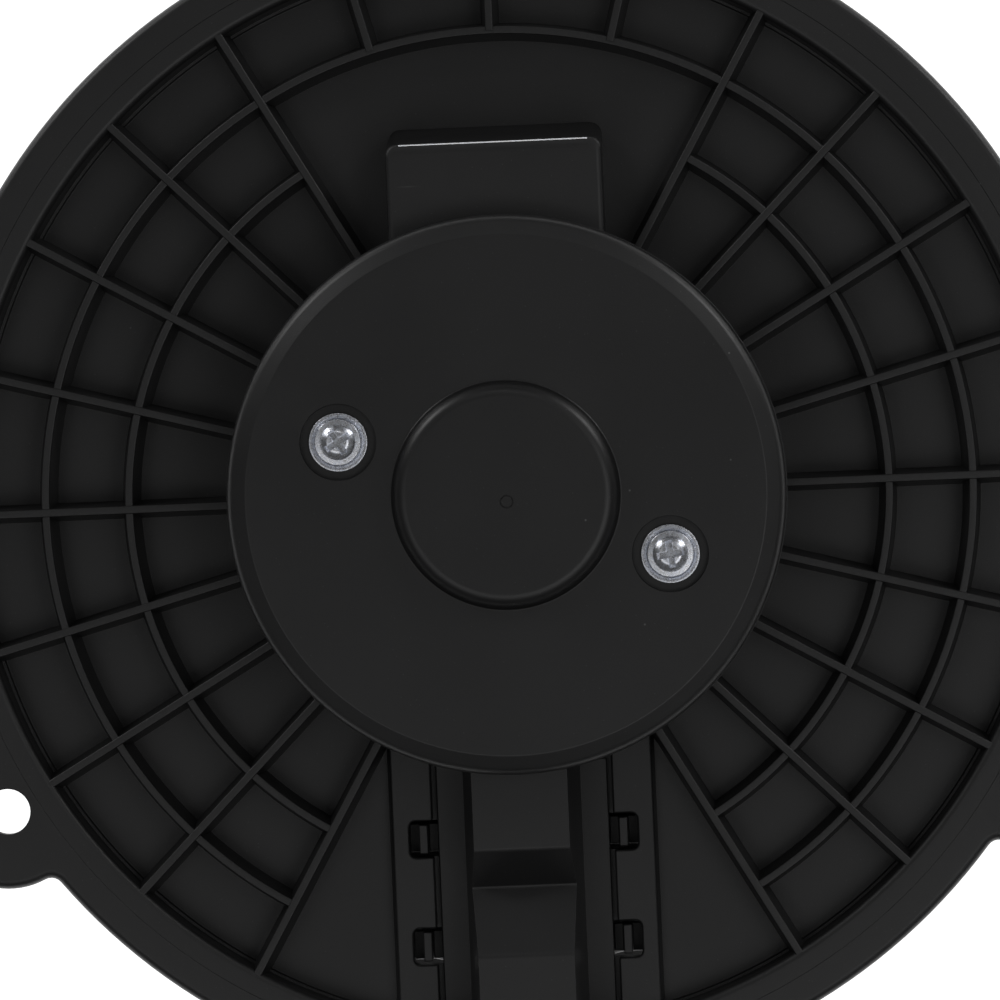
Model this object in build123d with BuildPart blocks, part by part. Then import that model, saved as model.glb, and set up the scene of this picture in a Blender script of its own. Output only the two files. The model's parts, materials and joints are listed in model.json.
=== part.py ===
from build123d import *
import math
import os

# Car heater blower: a motor in a round flange, with its fan wheel hanging below.
# Millimetres.  Z = 0 is the flange's mounting face and the motor axis is Z, with +Z
# towards the motor cover, +Y towards the cooling duct and -Y towards the connector.

# ---- mounting flange
rim_r = 94.0
rim_inner_r = 85.35
rim_t = 3.0
rim_edge_r = 1.4
rim_inner_edge_r = 1.25
ear_r = 12.3
ear_hole_r = 3.6
ear_blend_r = 2.0
ear_count = 3
spigot_r = 88.0
floor_z = -5.0
floor_t = 2.5
wall_foot_r = 85.25
ledge_in_r = 84.8
floor_edge_r = 84.6
foot_step = 0.6
rib_t = 1.25
rib_draft = 0.85
rib_end_r = 86.2
rib_step = 15
rib_top_z = 2.8
ring_drop = 0.2
outer_ring_r = 73.4
inner_ring_r = 60.15
channel_sector = (240, 300)
duct_sector = (60, 120)

# ---- motor pocket
pocket_r = 42.0
pocket_bore_r = 39.0
pocket_bottom_z = -30.0
pocket_window_w = 15.0
pocket_window_h = 14.0
pocket_window_z = 3.0
pocket_window_r = 2.0
cover_base_z = 11.0
lug_r = 8.0
lug_t = 2.5

# ---- cooling duct
duct_half_w = 17.0
duct_root_y = 30.0
duct_end_top_y = 55.3
duct_end_foot_y = 58.6
duct_top_z = 10.8
duct_wall = 2.0
duct_corner_r = 2.0
duct_edge_r = 1.3

# ---- cable channel and its cover
strip_in_x = 14.35
strip_out_x = 20.8
strip_top_z = -2.0
strip_start_y = -37.5
strip_end_y = -84.5
window_in_x = 12.5
window_out_x = 18.13
window_len = 5.8
window_corner_r = 1.0
window_ys = (-54.3, -71.4)
band_out_x = 13.65
band_t = 1.2
ridge_foot_x = 9.5
ridge_top_x = 7.55
ridge_top_z = 10.8
ridge_wall = 1.8
ridge_edge_r = 1.4
ridge_start_y = -42.6
ridge_end_y = -83.4
valley_start_y = -55.9
valley_y = -61.9
valley_end_y = -72.4
valley_z = 5.0
latch_w = 4.6
latch_t = 1.4
latch_x = 15.88
latch_top_z = -1.6
latch_bottom_z = -8.4
latch_wall = 1.0
latch_web_t = 0.9
barb_len = 2.6
barb_t = 0.7

# ---- motor cover and its screws
cover_r = 43.8
cover_lip = 0.2
cover_top_z = 19.5
cover_wall = 2.6
cover_edge_r = 3.0
boss_r = 17.75
boss_top_z = 22.0
boss_edge_r = 2.35
gate_x = 0.15
gate_y = -1.0
gate_r = 0.95
gate_w = 0.24
gate_depth = 0.3
screw_pcr = 27.35
screw_angle = -20.9
counterbore_r = 6.0
seat_z = 18.2
screw_hole_r = 2.3
washer_r = 4.6
washer_t = 0.8
head_r = 3.62
head_h = 2.6
head_edge_r = 1.2
screw_r = 2.0
screw_tip_chamfer = 0.5
screw_tip_z = 2.6
recess_len = 4.8
recess_w = 1.1
recess_depth = 1.7
recess_taper = 6
recess_turns = (8, 31)

# ---- motor housing
can_r = 35.0
can_wall = 1.8
can_top_z = 4.0
can_bottom_z = -46.0
plate_t = 2.0
bearing_r = 8.0
bearing_wall = 1.6
lower_boss_z = -52.0
can_edge_r = 3.0
vent_pcr = 22.0
vent_r = 4.0
vent_count = 6
bearing_len = 5.5
retainer_t = 0.6
thrust_t = 0.8
upper_boss_z = 15.0
shaft_r = 4.0
shaft_run = 0.05
shaft_top_z = 13.2
shaft_bottom_z = -76.0

# ---- armature, commutator and brushes
magnet_in_r = 26.5
magnet_span = 130
magnet_top_z = -6.0
magnet_bottom_z = -38.0
spring_half_span = 24
core_r = 25.7
core_top_z = -9.0
core_bottom_z = -33.0
slot_count = 12
slot_w = 4.2
slot_in_r = 14.0
slot_out_r = 24.0
slot_mouth_w = 2.4
wire_gap = 0.1
end_turn_top_z = -5.4
end_turn_bottom_z = -39.5
commutator_r = 11.0
commutator_core_r = 7.5
commutator_top_z = 3.0
commutator_bottom_z = -4.6
bar_gap = 0.6
brush_gap = 0.3
brush_w = 6.0
brush_h = 5.0
brush_len = 10.0
brush_z = -0.85
brush_play = 0.15
holder_in_y = 13.0
holder_out_y = 30.0
holder_wall = 0.6
card_bottom_z = 2.4
card_r = 32.6
card_hole_r = 13.0
choke_x = 19.0
choke_len = 16.0
choke_core_r = 2.3
choke_coil_r = 3.1
choke_z = -0.9
spring_r = 1.8
spring_wire_r = 0.25
spring_turns = 5
lead_r = 0.4
lead_y = 19.5
lead_low_z = -4.55

# ---- lead wires and connector
wire_r = 1.2
wire_x = 3.2
wire_start_y = -29.0
wire_end_y = -83.0
barrel_len = 4.0
terminal_x = 3.9
terminal_z = 7.0
blade_w = 6.3
blade_t = 0.8
blade_tip_y = -93.5
shell_half_w = 11.5
shell_top_z = 12.0
shell_wall = 1.8
shell_back_y = -83.4
shell_mouth_y = -99.0
shell_back_t = 2.4
shell_corner_r = 1.2
cavity_corner_r = 0.8
cavity_extra_h = 0.8
ramp_start = 2.0
ramp_rise_len = 3.5
ramp_top_len = 1.0
ramp_h = 1.6
ramp_half_w = 2.6
guide_x = 6.5
guide_w = 1.2
guide_end_gap = 0.5
blade_chamfer = 1.0
barrel_wall = 0.6

# ---- fan wheel
wheel_r = 75.5
blade_count = 43
blade_in_r = 61.2
blade_top_z = -12.0
blade_bottom_z = -78.5
wheel_top_z = -11.0
wheel_bottom_z = -80.0
end_ring_h = 7.0
end_ring_in_r = 73.2
hub_r = 11.0
hub_bottom_z = -72.0
insert_r = 7.0
gusset_count = 6
gusset_t = 1.6
balance_blades = (5, 26)

floor_bottom_z = floor_z - floor_t
ring_ribs = [
    (outer_ring_r, channel_sector[1], 300),
    (inner_ring_r, -60, 120),
    (inner_ring_r, 120, 120),
]
plate_top_z = can_top_z + plate_t
magnet_out_r = can_r - can_wall
washer_top_z = seat_z + washer_t
boss_out_r = bearing_r + bearing_wall


def polar(radius, angle):
    """A point in the XY plane, from its radius and its angle in degrees."""
    return (radius * math.cos(math.radians(angle)), radius * math.sin(math.radians(angle)))


def ring_sector(r_in, r_out, start, span):
    """Add one slice of a ring to the open sketch."""
    with BuildLine() as outline:
        CenterArc((0, 0), r_out, start, span)
        CenterArc((0, 0), r_in, start, span)
        Line(polar(r_in, start), polar(r_out, start))
        Line(polar(r_in, start + span), polar(r_out, start + span))
    make_face(outline.edges())


def radial_bar(angle, r_in, r_out, width):
    """Add a straight bar along a radius to the open sketch."""
    with PolarLocations((r_in + r_out) / 2, 1, start_angle=angle):
        Rectangle(r_out - r_in, width)


def tube(r_out, r_in, z_low, z_high):
    """Add a plain tube about the motor axis to the open part."""
    with BuildSketch(Plane.XY.offset(z_low)) as section:
        Circle(r_out)
        Circle(r_in, mode=Mode.SUBTRACT)
    extrude(section.sketch, amount=z_high - z_low)


def rib_section(middle, top_z):
    """Corners of a rib's drafted section, standing on the dish's floor."""
    half_top = rib_t / 2
    half_foot = half_top + rib_draft
    return [
        (middle - half_foot, floor_z),
        (middle + half_foot, floor_z),
        (middle + half_top, top_z),
        (middle - half_top, top_z),
    ]


def radial_plane(angle, radius):
    """The plane across a radius: its X runs round the part, its Y up, and it faces outwards."""
    x, y = polar(radius, angle)
    side = polar(1, angle + 90)
    return Plane(origin=(x, y, 0), x_dir=(side[0], side[1], 0), z_dir=(x, y, 0))


def inside(angle, sector):
    """True where an angle lies strictly inside a sector."""
    return sector[0] < angle < sector[1]


# ------------------------------------------------------------------ duct body and its air way
with BuildPart() as duct_block:
    with BuildSketch(Plane.YZ):
        Polygon(
            (duct_root_y, floor_bottom_z),
            (duct_end_foot_y, floor_bottom_z),
            (duct_end_foot_y, floor_z),
            (duct_end_top_y, duct_top_z),
            (duct_root_y, duct_top_z),
        )
    extrude(amount=duct_half_w, both=True)
    end_corners = duct_block.edges().filter_by(
        lambda e: e.center().Y > duct_end_top_y - 5 and abs(e.center().X) > 1 and e.center().Z > floor_z
        and abs(e.center().Z - duct_top_z) > 1
    )
    fillet(end_corners, duct_corner_r)
    crown = duct_block.edges().filter_by(
        lambda e: abs(e.center().Z - duct_top_z) < 0.01 and e.center().Y > duct_root_y + 1
    )
    fillet(crown, duct_edge_r)

with BuildPart() as air_way:
    with BuildSketch(Plane.YZ):
        Polygon(
            (duct_root_y, floor_bottom_z),
            (duct_end_foot_y - duct_wall, floor_bottom_z),
            (duct_end_foot_y - duct_wall, floor_z),
            (duct_end_top_y - duct_wall, duct_top_z - duct_wall),
            (duct_root_y, duct_top_z - duct_wall),
        )
    extrude(amount=duct_half_w - duct_wall, both=True)

# ------------------------------------------------------------------ mounting flange
with BuildPart() as mounting_flange:
    # rim plate, with its ears
    with BuildSketch() as rim_outline:
        Circle(rim_r)
        with PolarLocations(rim_r, ear_count, start_angle=90):
            Circle(ear_r)
        corners = rim_outline.vertices().filter_by(
            lambda v: abs(Vector(v).length - rim_r) < 0.01 and abs(v.Y) > 1
        )
        fillet(corners, ear_blend_r)
    extrude(amount=rim_t)
    fillet(mounting_flange.edges().group_by(Axis.Z)[-1], rim_edge_r)

    # spigot and the dished recess inside the rim
    with BuildSketch(Plane.XY.offset(floor_bottom_z)):
        Circle(spigot_r)
    extrude(amount=-floor_bottom_z)
    with BuildSketch(Plane.XZ):
        with BuildLine():
            Polyline(
                (0, rim_t + 1),
                (rim_inner_r, rim_t + 1),
                (rim_inner_r, rim_t),
                (wall_foot_r, floor_z + foot_step),
                (ledge_in_r, floor_z + foot_step),
                (floor_edge_r, floor_z),
                (0, floor_z),
                close=True,
            )
        make_face()
    revolve(axis=Axis.Z, mode=Mode.SUBTRACT)
    rim_inner_edge = mounting_flange.edges().filter_by(
        lambda e: e.geom_type == GeomType.CIRCLE and abs(e.radius - rim_inner_r) < 0.01
        and abs(e.center().Z - rim_t) < 0.01
    )
    fillet(rim_inner_edge, rim_inner_edge_r)

    # motor pocket and duct, solid for now
    with BuildSketch(Plane.XY.offset(pocket_bottom_z)):
        Circle(pocket_r)
    extrude(amount=cover_base_z - pocket_bottom_z)
    add(duct_block.part)

    # ribs of the dish: drafted radial bars and rings
    for angle in range(0, 360, rib_step):
        if inside(angle, channel_sector):
            continue
        rib_start_r = outer_ring_r if inside(angle, duct_sector) else pocket_r - 1
        with BuildSketch(radial_plane(angle, rib_start_r)):
            Polygon(*rib_section(0, rib_top_z))
        extrude(amount=rib_end_r - rib_start_r)
    for radius, start, span in ring_ribs:
        with BuildSketch(Plane.XZ.rotated((0, 0, start))):
            Polygon(*rib_section(radius, rib_top_z - ring_drop))
        revolve(axis=Axis.Z, revolution_arc=span)

    # raised strips beside the cable channel
    strip_w = strip_out_x - strip_in_x
    with BuildSketch(Plane.XY.offset(floor_z)):
        for side in (-1, 1):
            with Locations((side * (strip_in_x + strip_w / 2), (strip_start_y + strip_end_y) / 2)):
                Rectangle(strip_w, strip_start_y - strip_end_y)
    extrude(amount=strip_top_z - floor_z)

    # latch windows through strips and floor
    window_mid_x = (window_in_x + window_out_x) / 2
    with BuildSketch(Plane.XY.offset(floor_bottom_z)):
        for y in window_ys:
            with Locations((window_mid_x, y), (-window_mid_x, y)):
                RectangleRounded(window_out_x - window_in_x, window_len, window_corner_r)
    extrude(amount=strip_top_z - floor_bottom_z, mode=Mode.SUBTRACT)

    # air way of the duct: open to the fan below and to the motor pocket
    add(air_way.part, mode=Mode.SUBTRACT)

    # pocket bore, the cable window through its wall and the two screw lugs
    with BuildSketch(Plane.XY.offset(pocket_bottom_z)):
        Circle(pocket_bore_r)
    extrude(amount=cover_base_z - pocket_bottom_z, mode=Mode.SUBTRACT)
    with BuildSketch(Plane.XZ.offset(pocket_bore_r - 4)):
        with Locations((0, pocket_window_z)):
            RectangleRounded(pocket_window_w, pocket_window_h, pocket_window_r)
    extrude(amount=pocket_r - pocket_bore_r + 5, mode=Mode.SUBTRACT)
    with BuildSketch(Plane.XY.offset(cover_base_z)):
        with PolarLocations(screw_pcr, 2, start_angle=screw_angle):
            Circle(lug_r)
        for turn in (0, 180):
            radial_bar(screw_angle + turn, screw_pcr, pocket_bore_r + 1.5, 2 * lug_r)
    extrude(amount=-lug_t)
    with BuildSketch(Plane.XY.offset(cover_base_z)):
        with PolarLocations(screw_pcr, 2, start_angle=screw_angle):
            Circle(screw_hole_r)
    extrude(amount=-lug_t, mode=Mode.SUBTRACT)

    # fixing holes in the ears
    with BuildSketch():
        with PolarLocations(rim_r, ear_count, start_angle=90):
            Circle(ear_hole_r)
    extrude(amount=rim_t, mode=Mode.SUBTRACT)
mounting_flange.part.label = "mounting_flange"
export_step(mounting_flange.part, "parts/mounting_flange.step")

# ------------------------------------------------------------------ motor cover
with BuildPart() as motor_cover:
    with BuildSketch(Plane.XY.offset(cover_base_z)):
        Circle(cover_r)
    extrude(amount=cover_top_z - cover_base_z)
    fillet(motor_cover.edges().group_by(Axis.Z)[-1], cover_edge_r)
    with BuildSketch(Plane.XY.offset(cover_base_z)):
        Circle(cover_r + cover_lip)
    extrude(amount=cover_lip * 3)
    with BuildSketch(Plane.XY.offset(cover_top_z - 1)):
        Circle(boss_r)
    extrude(amount=boss_top_z - cover_top_z + 1)
    fillet(motor_cover.edges().group_by(Axis.Z)[-1], boss_edge_r)
    # hollow inside, with a post under each screw seat
    with BuildSketch(Plane.XY.offset(cover_base_z)):
        Circle(cover_r - cover_wall)
        with PolarLocations(screw_pcr, 2, start_angle=screw_angle):
            Circle(lug_r, mode=Mode.SUBTRACT)
    extrude(amount=cover_top_z - cover_wall - cover_base_z, mode=Mode.SUBTRACT)
    with BuildSketch(Plane.XY.offset(seat_z)):
        with PolarLocations(screw_pcr, 2, start_angle=screw_angle):
            Circle(counterbore_r)
    extrude(amount=cover_top_z - seat_z, mode=Mode.SUBTRACT)
    with BuildSketch(Plane.XY.offset(cover_base_z)):
        with PolarLocations(screw_pcr, 2, start_angle=screw_angle):
            Circle(screw_hole_r)
    extrude(amount=seat_z - cover_base_z, mode=Mode.SUBTRACT)
    # moulding gate mark: a shallow ring groove
    with BuildSketch(Plane.XY.offset(boss_top_z)):
        with Locations((gate_x, gate_y)):
            Circle(gate_r + gate_w / 2)
            Circle(gate_r - gate_w / 2, mode=Mode.SUBTRACT)
    extrude(amount=-gate_depth, mode=Mode.SUBTRACT)
motor_cover.part.label = "motor_cover"
export_step(motor_cover.part, "parts/motor_cover.step")

# ------------------------------------------------------------------ cover screws and washers
with BuildPart() as cover_screws:
    with BuildSketch(Plane.XY.offset(washer_top_z)):
        with PolarLocations(screw_pcr, 2, start_angle=screw_angle):
            Circle(head_r)
    extrude(amount=head_h)
    fillet(cover_screws.edges().group_by(Axis.Z)[-1], head_edge_r)
    with BuildSketch(Plane.XY.offset(screw_tip_z)):
        with PolarLocations(screw_pcr, 2, start_angle=screw_angle):
            Circle(screw_r)
    extrude(amount=washer_top_z - screw_tip_z)
    chamfer(cover_screws.edges().group_by(Axis.Z)[0], screw_tip_chamfer)
    # cross recesses, each turned as it was tightened
    with BuildSketch(Plane.XY.offset(washer_top_z + head_h)):
        for side, turn in enumerate(recess_turns):
            with Locations(polar(screw_pcr, screw_angle + 180 * side)):
                Rectangle(recess_len, recess_w, rotation=turn)
                Rectangle(recess_w, recess_len, rotation=turn)
    extrude(amount=-recess_depth, taper=recess_taper, mode=Mode.SUBTRACT)
cover_screws.part.label = "cover_screws"
export_step(cover_screws.part, "parts/cover_screws.step")

with BuildPart() as cover_screw_washers:
    with BuildSketch(Plane.XY.offset(seat_z)):
        with PolarLocations(screw_pcr, 2, start_angle=screw_angle):
            Circle(washer_r)
            Circle(screw_hole_r - 0.1, mode=Mode.SUBTRACT)
    extrude(amount=washer_t)
cover_screw_washers.part.label = "cover_screw_washers"
export_step(cover_screw_washers.part, "parts/cover_screw_washers.step")

# ------------------------------------------------------------------ cable channel cover
ridge_len = ridge_start_y - ridge_end_y
ridge_mid_y = (ridge_start_y + ridge_end_y) / 2
with BuildPart() as wire_way:
    with BuildSketch(Plane.XZ.offset(-ridge_start_y - 1)):
        Polygon(
            (ridge_wall - ridge_foot_x, floor_z - 1),
            (ridge_foot_x - ridge_wall, floor_z - 1),
            (ridge_top_x - ridge_wall, ridge_top_z - ridge_wall),
            (ridge_wall - ridge_top_x, ridge_top_z - ridge_wall),
        )
    extrude(amount=ridge_len + 2)
    with BuildSketch(Plane.YZ):
        Polygon(
            (ridge_start_y + 1, floor_z - 1),
            (ridge_start_y + 1, ridge_top_z - ridge_wall),
            (valley_start_y + ridge_wall / 2, ridge_top_z - ridge_wall),
            (valley_y, valley_z - ridge_wall),
            (valley_end_y - ridge_wall / 2, ridge_top_z - ridge_wall),
            (ridge_end_y - 1, ridge_top_z - ridge_wall),
            (ridge_end_y - 1, floor_z - 1),
        )
    extrude(amount=ridge_foot_x, both=True, mode=Mode.INTERSECT)

with BuildPart() as wire_cover:
    # ridge: a tapered bar cut to the stepped side view
    with BuildSketch(Plane.XZ.offset(-ridge_start_y)):
        Polygon(
            (-ridge_foot_x, floor_z),
            (ridge_foot_x, floor_z),
            (ridge_top_x, ridge_top_z),
            (-ridge_top_x, ridge_top_z),
        )
    extrude(amount=ridge_len)
    with BuildSketch(Plane.YZ):
        Polygon(
            (ridge_start_y, floor_z),
            (ridge_start_y, ridge_top_z),
            (valley_start_y, ridge_top_z),
            (valley_y, valley_z),
            (valley_end_y, ridge_top_z),
            (ridge_end_y, ridge_top_z),
            (ridge_end_y, floor_z),
        )
    extrude(amount=ridge_foot_x, both=True, mode=Mode.INTERSECT)
    long_edges = wire_cover.edges().filter_by(
        lambda e: e.center().Z > 0 and abs(e.center().X) > 5 and abs(e.tangent_at(0.5).Y) > 0.5
    )
    fillet(long_edges, ridge_edge_r)
    # flanges beside the ridge
    band_w = band_out_x - ridge_top_x
    with BuildSketch(Plane.XY.offset(floor_z)):
        with Locations((band_out_x - band_w / 2, ridge_mid_y), (band_w / 2 - band_out_x, ridge_mid_y)):
            Rectangle(band_w, ridge_len)
    extrude(amount=band_t)
    # latch fingers: a wall down through the window, a web, an upright bar and a barb
    root_x = band_out_x - latch_wall
    for y in window_ys:
        for side in (-1, 1):
            with Locations((side * (root_x + latch_wall / 2), y, (floor_z + latch_bottom_z) / 2)):
                Box(latch_wall, latch_w, floor_z - latch_bottom_z)
            with Locations((side * (root_x + latch_x) / 2, y, latch_bottom_z + latch_web_t / 2)):
                Box(latch_x - root_x, latch_w, latch_web_t)
            with Locations((side * latch_x, y, (latch_top_z + latch_bottom_z) / 2)):
                Box(latch_t, latch_w, latch_top_z - latch_bottom_z)
            with Locations((side * (latch_x + barb_len / 2), y, latch_bottom_z + barb_t / 2)):
                Box(barb_len, latch_w, barb_t)
    # hollow for the lead wires, open at both ends
    add(wire_way.part, mode=Mode.SUBTRACT)
wire_cover.part.label = "wire_cover"
export_step(wire_cover.part, "parts/wire_cover.step")

# ------------------------------------------------------------------ connector
shell_len = shell_back_y - shell_mouth_y
shell_h = shell_top_z - rim_t
with BuildPart() as connector_shell:
    with BuildSketch(Plane.XZ.offset(-shell_back_y)):
        with Locations((0, rim_t + shell_h / 2)):
            RectangleRounded(2 * shell_half_w, shell_h, shell_corner_r)
    extrude(amount=shell_len)
    with BuildSketch(Plane.XZ.offset(-shell_back_y + shell_back_t)):
        with Locations((0, rim_t + shell_h / 2)):
            cavity_h = shell_h - 2 * shell_wall + cavity_extra_h
            RectangleRounded(2 * (shell_half_w - shell_wall), cavity_h, cavity_corner_r)
    extrude(amount=shell_len - shell_back_t, mode=Mode.SUBTRACT)
    # slots for the two terminals
    with BuildSketch(Plane.XZ.offset(-shell_back_y)):
        with Locations((terminal_x, terminal_z), (-terminal_x, terminal_z)):
            Rectangle(blade_w + 0.1, blade_t + 0.1)
            Circle(wire_r + barrel_wall + 0.15)
    extrude(amount=shell_back_t, mode=Mode.SUBTRACT)
    # latch ramp and guide ribs for the mating plug
    ramp_low_y = shell_mouth_y + ramp_start
    ramp_high_y = ramp_low_y + ramp_rise_len + ramp_top_len
    with BuildSketch(Plane.YZ):
        Polygon(
            (ramp_low_y, shell_top_z - 0.2),
            (ramp_low_y + ramp_rise_len, shell_top_z + ramp_h),
            (ramp_high_y, shell_top_z + ramp_h),
            (ramp_high_y, shell_top_z - 0.2),
        )
    extrude(amount=ramp_half_w, both=True)
    for side in (-1, 1):
        with Locations((side * guide_x, (shell_back_y + shell_mouth_y) / 2, shell_top_z + guide_w / 3)):
            Box(guide_w, shell_len - 2 * guide_end_gap, guide_w)
connector_shell.part.label = "connector_shell"
export_step(connector_shell.part, "parts/connector_shell.step")

with BuildPart() as connector_terminals:
    barrel_front_y = shell_back_y - shell_back_t / 2
    blade_len = barrel_front_y - blade_tip_y
    for side in (-1, 1):
        with Locations((side * terminal_x, barrel_front_y - blade_len / 2, terminal_z)):
            Box(blade_w, blade_len, blade_t)
    chamfer(connector_terminals.edges().filter_by(Axis.Z).group_by(Axis.Y)[0], blade_chamfer)
    # crimp barrels, blind at the blade end
    with BuildSketch(Plane.XZ.offset(-wire_end_y - barrel_len)):
        with Locations((terminal_x, terminal_z), (-terminal_x, terminal_z)):
            Circle(wire_r + barrel_wall)
    extrude(amount=-barrel_front_y + wire_end_y + barrel_len + 0.4)
    with BuildSketch(Plane.XZ.offset(-wire_end_y - barrel_len)):
        with Locations((terminal_x, terminal_z), (-terminal_x, terminal_z)):
            Circle(wire_r)
    extrude(amount=barrel_len, mode=Mode.SUBTRACT)
connector_terminals.part.label = "connector_terminals"
export_step(connector_terminals.part, "parts/connector_terminals.step")

# lead wires, from the brush card up and over the end plate to the terminals
with BuildPart() as lead_wires:
    for side in (-1, 1):
        with BuildLine() as route:
            FilletPolyline(
                (side * wire_x, wire_start_y, card_bottom_z + 0.2),
                (side * wire_x, wire_start_y, 8.3),
                (side * wire_x, -44.5, 6.6),
                (side * 3.8, -56.5, -1.4),
                (side * 4.2, -68.0, -1.2),
                (side * terminal_x, -76.5, terminal_z),
                (side * terminal_x, wire_end_y, terminal_z),
                radius=[3.4, 12.0, 9.0, 9.0, 4.0],
            )
        with BuildSketch(Plane(origin=route.line @ 0, z_dir=route.line % 0)):
            Circle(wire_r)
        sweep()
lead_wires.part.label = "lead_wires"
export_step(lead_wires.part, "parts/lead_wires.step")

# ------------------------------------------------------------------ motor can and end plate
with BuildPart() as motor_housing:
    with BuildSketch(Plane.XY.offset(can_bottom_z)):
        Circle(can_r)
    extrude(amount=can_top_z - can_bottom_z)
    fillet(motor_housing.edges().group_by(Axis.Z)[0], can_edge_r)
    with BuildSketch(Plane.XY.offset(lower_boss_z)):
        Circle(boss_out_r)
    extrude(amount=can_bottom_z - lower_boss_z)
    with BuildSketch(Plane.XY.offset(can_bottom_z + can_wall)):
        Circle(magnet_out_r)
    extrude(amount=can_top_z - can_bottom_z - can_wall, mode=Mode.SUBTRACT)
    with BuildSketch(Plane.XY.offset(lower_boss_z + bearing_wall)):
        Circle(bearing_r)
    extrude(amount=can_bottom_z + can_wall - lower_boss_z - bearing_wall, mode=Mode.SUBTRACT)
    with BuildSketch(Plane.XY.offset(lower_boss_z)):
        Circle(shaft_r + 1)
        with PolarLocations(vent_pcr, vent_count):
            Circle(vent_r)
    extrude(amount=can_bottom_z - lower_boss_z + can_wall, mode=Mode.SUBTRACT)
motor_housing.part.label = "motor_housing"
export_step(motor_housing.part, "parts/motor_housing.step")

with BuildPart() as motor_end_plate:
    with BuildSketch(Plane.XY.offset(can_top_z)):
        Circle(can_r)
    extrude(amount=plate_t)
    with BuildSketch(Plane.XY.offset(can_top_z)):
        Circle(boss_out_r)
    extrude(amount=upper_boss_z - can_top_z)
    fillet(motor_end_plate.edges().group_by(Axis.Z)[-1], 1.2)
    with BuildSketch(Plane.XY.offset(can_top_z)):
        Circle(bearing_r)
    extrude(amount=upper_boss_z - can_top_z - bearing_wall, mode=Mode.SUBTRACT)
    # threaded holes, slot for the lead wires and air slots
    with BuildSketch(Plane.XY.offset(can_top_z)):
        with PolarLocations(screw_pcr, 2, start_angle=screw_angle):
            Circle(screw_r + 0.05)
        with Locations((0, wire_start_y)):
            SlotOverall(2 * wire_x + 4, 3.6)
        for start in (25, 125, 205):
            ring_sector(15, 21, start, 30)
    extrude(amount=plate_t, mode=Mode.SUBTRACT)
motor_end_plate.part.label = "motor_end_plate"
export_step(motor_end_plate.part, "parts/motor_end_plate.step")

# ------------------------------------------------------------------ rubber mounts of the motor
with BuildPart() as isolator_ring:
    tube(pocket_bore_r, can_r, -22, -12)
isolator_ring.part.label = "isolator_ring"
export_step(isolator_ring.part, "parts/isolator_ring.step")

with BuildPart() as isolator_pads:
    with BuildSketch(Plane.XY.offset(plate_top_z)):
        with PolarLocations(screw_pcr, 2, start_angle=screw_angle):
            Circle(5.5)
            Circle(screw_hole_r, mode=Mode.SUBTRACT)
    extrude(amount=cover_base_z - lug_t - plate_top_z)
isolator_pads.part.label = "isolator_pads"
export_step(isolator_pads.part, "parts/isolator_pads.step")

# ------------------------------------------------------------------ field magnets and springs
with BuildPart() as field_magnets:
    with BuildSketch(Plane.XY.offset(magnet_bottom_z)):
        for middle in (0, 180):
            ring_sector(magnet_in_r, magnet_out_r, middle - magnet_span / 2, magnet_span)
    extrude(amount=magnet_top_z - magnet_bottom_z)
field_magnets.part.label = "field_magnets"
export_step(field_magnets.part, "parts/field_magnets.step")

with BuildPart() as magnet_springs:
    with BuildSketch(Plane.XY.offset(magnet_bottom_z + 2)):
        for middle in (90, 270):
            ring_sector(magnet_out_r - 0.8, magnet_out_r, middle - spring_half_span, 2 * spring_half_span)
            for end in (middle - spring_half_span, middle + spring_half_span - 1.6):
                ring_sector(magnet_in_r + 1.5, magnet_out_r, end, 1.6)
    extrude(amount=magnet_top_z - magnet_bottom_z - 4)
magnet_springs.part.label = "magnet_springs"
export_step(magnet_springs.part, "parts/magnet_springs.step")

# ------------------------------------------------------------------ bearings
upper_bearing_z = upper_boss_z - bearing_wall - bearing_len
lower_bearing_z = lower_boss_z + bearing_wall
with BuildPart() as upper_bearing:
    tube(bearing_r, shaft_r + shaft_run, upper_bearing_z, upper_bearing_z + bearing_len)
upper_bearing.part.label = "upper_bearing"
export_step(upper_bearing.part, "parts/upper_bearing.step")

with BuildPart() as lower_bearing:
    tube(bearing_r, shaft_r + shaft_run, lower_bearing_z, lower_bearing_z + bearing_len)
lower_bearing.part.label = "lower_bearing"
export_step(lower_bearing.part, "parts/lower_bearing.step")

with BuildPart() as bearing_retainers:
    for base_z in (upper_bearing_z - retainer_t, lower_bearing_z + bearing_len):
        tube(bearing_r, shaft_r + 1.2, base_z, base_z + retainer_t)
    with BuildSketch(Plane.XY.offset(lower_bearing_z)):
        with PolarLocations(shaft_r + 1.6, 6):
            Circle(0.9)
    extrude(amount=upper_bearing_z - lower_bearing_z, mode=Mode.SUBTRACT)
bearing_retainers.part.label = "bearing_retainers"
export_step(bearing_retainers.part, "parts/bearing_retainers.step")

# ------------------------------------------------------------------ shaft and armature
with BuildPart() as motor_shaft:
    with BuildSketch(Plane.XY.offset(shaft_bottom_z)):
        Circle(shaft_r)
    extrude(amount=shaft_top_z - shaft_bottom_z)
    chamfer(motor_shaft.edges().filter_by(GeomType.CIRCLE), 0.6)
motor_shaft.part.label = "motor_shaft"
export_step(motor_shaft.part, "parts/motor_shaft.step")

with BuildPart() as armature_core:
    with BuildSketch(Plane.XY.offset(core_bottom_z)):
        Circle(core_r)
        Circle(shaft_r, mode=Mode.SUBTRACT)
        with PolarLocations((slot_in_r + slot_out_r) / 2, slot_count):
            Rectangle(slot_out_r - slot_in_r, slot_w, mode=Mode.SUBTRACT)
        with PolarLocations(slot_out_r, slot_count):
            Rectangle(6, slot_mouth_w, mode=Mode.SUBTRACT)
    extrude(amount=core_top_z - core_bottom_z)
armature_core.part.label = "armature_core"
export_step(armature_core.part, "parts/armature_core.step")

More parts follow.
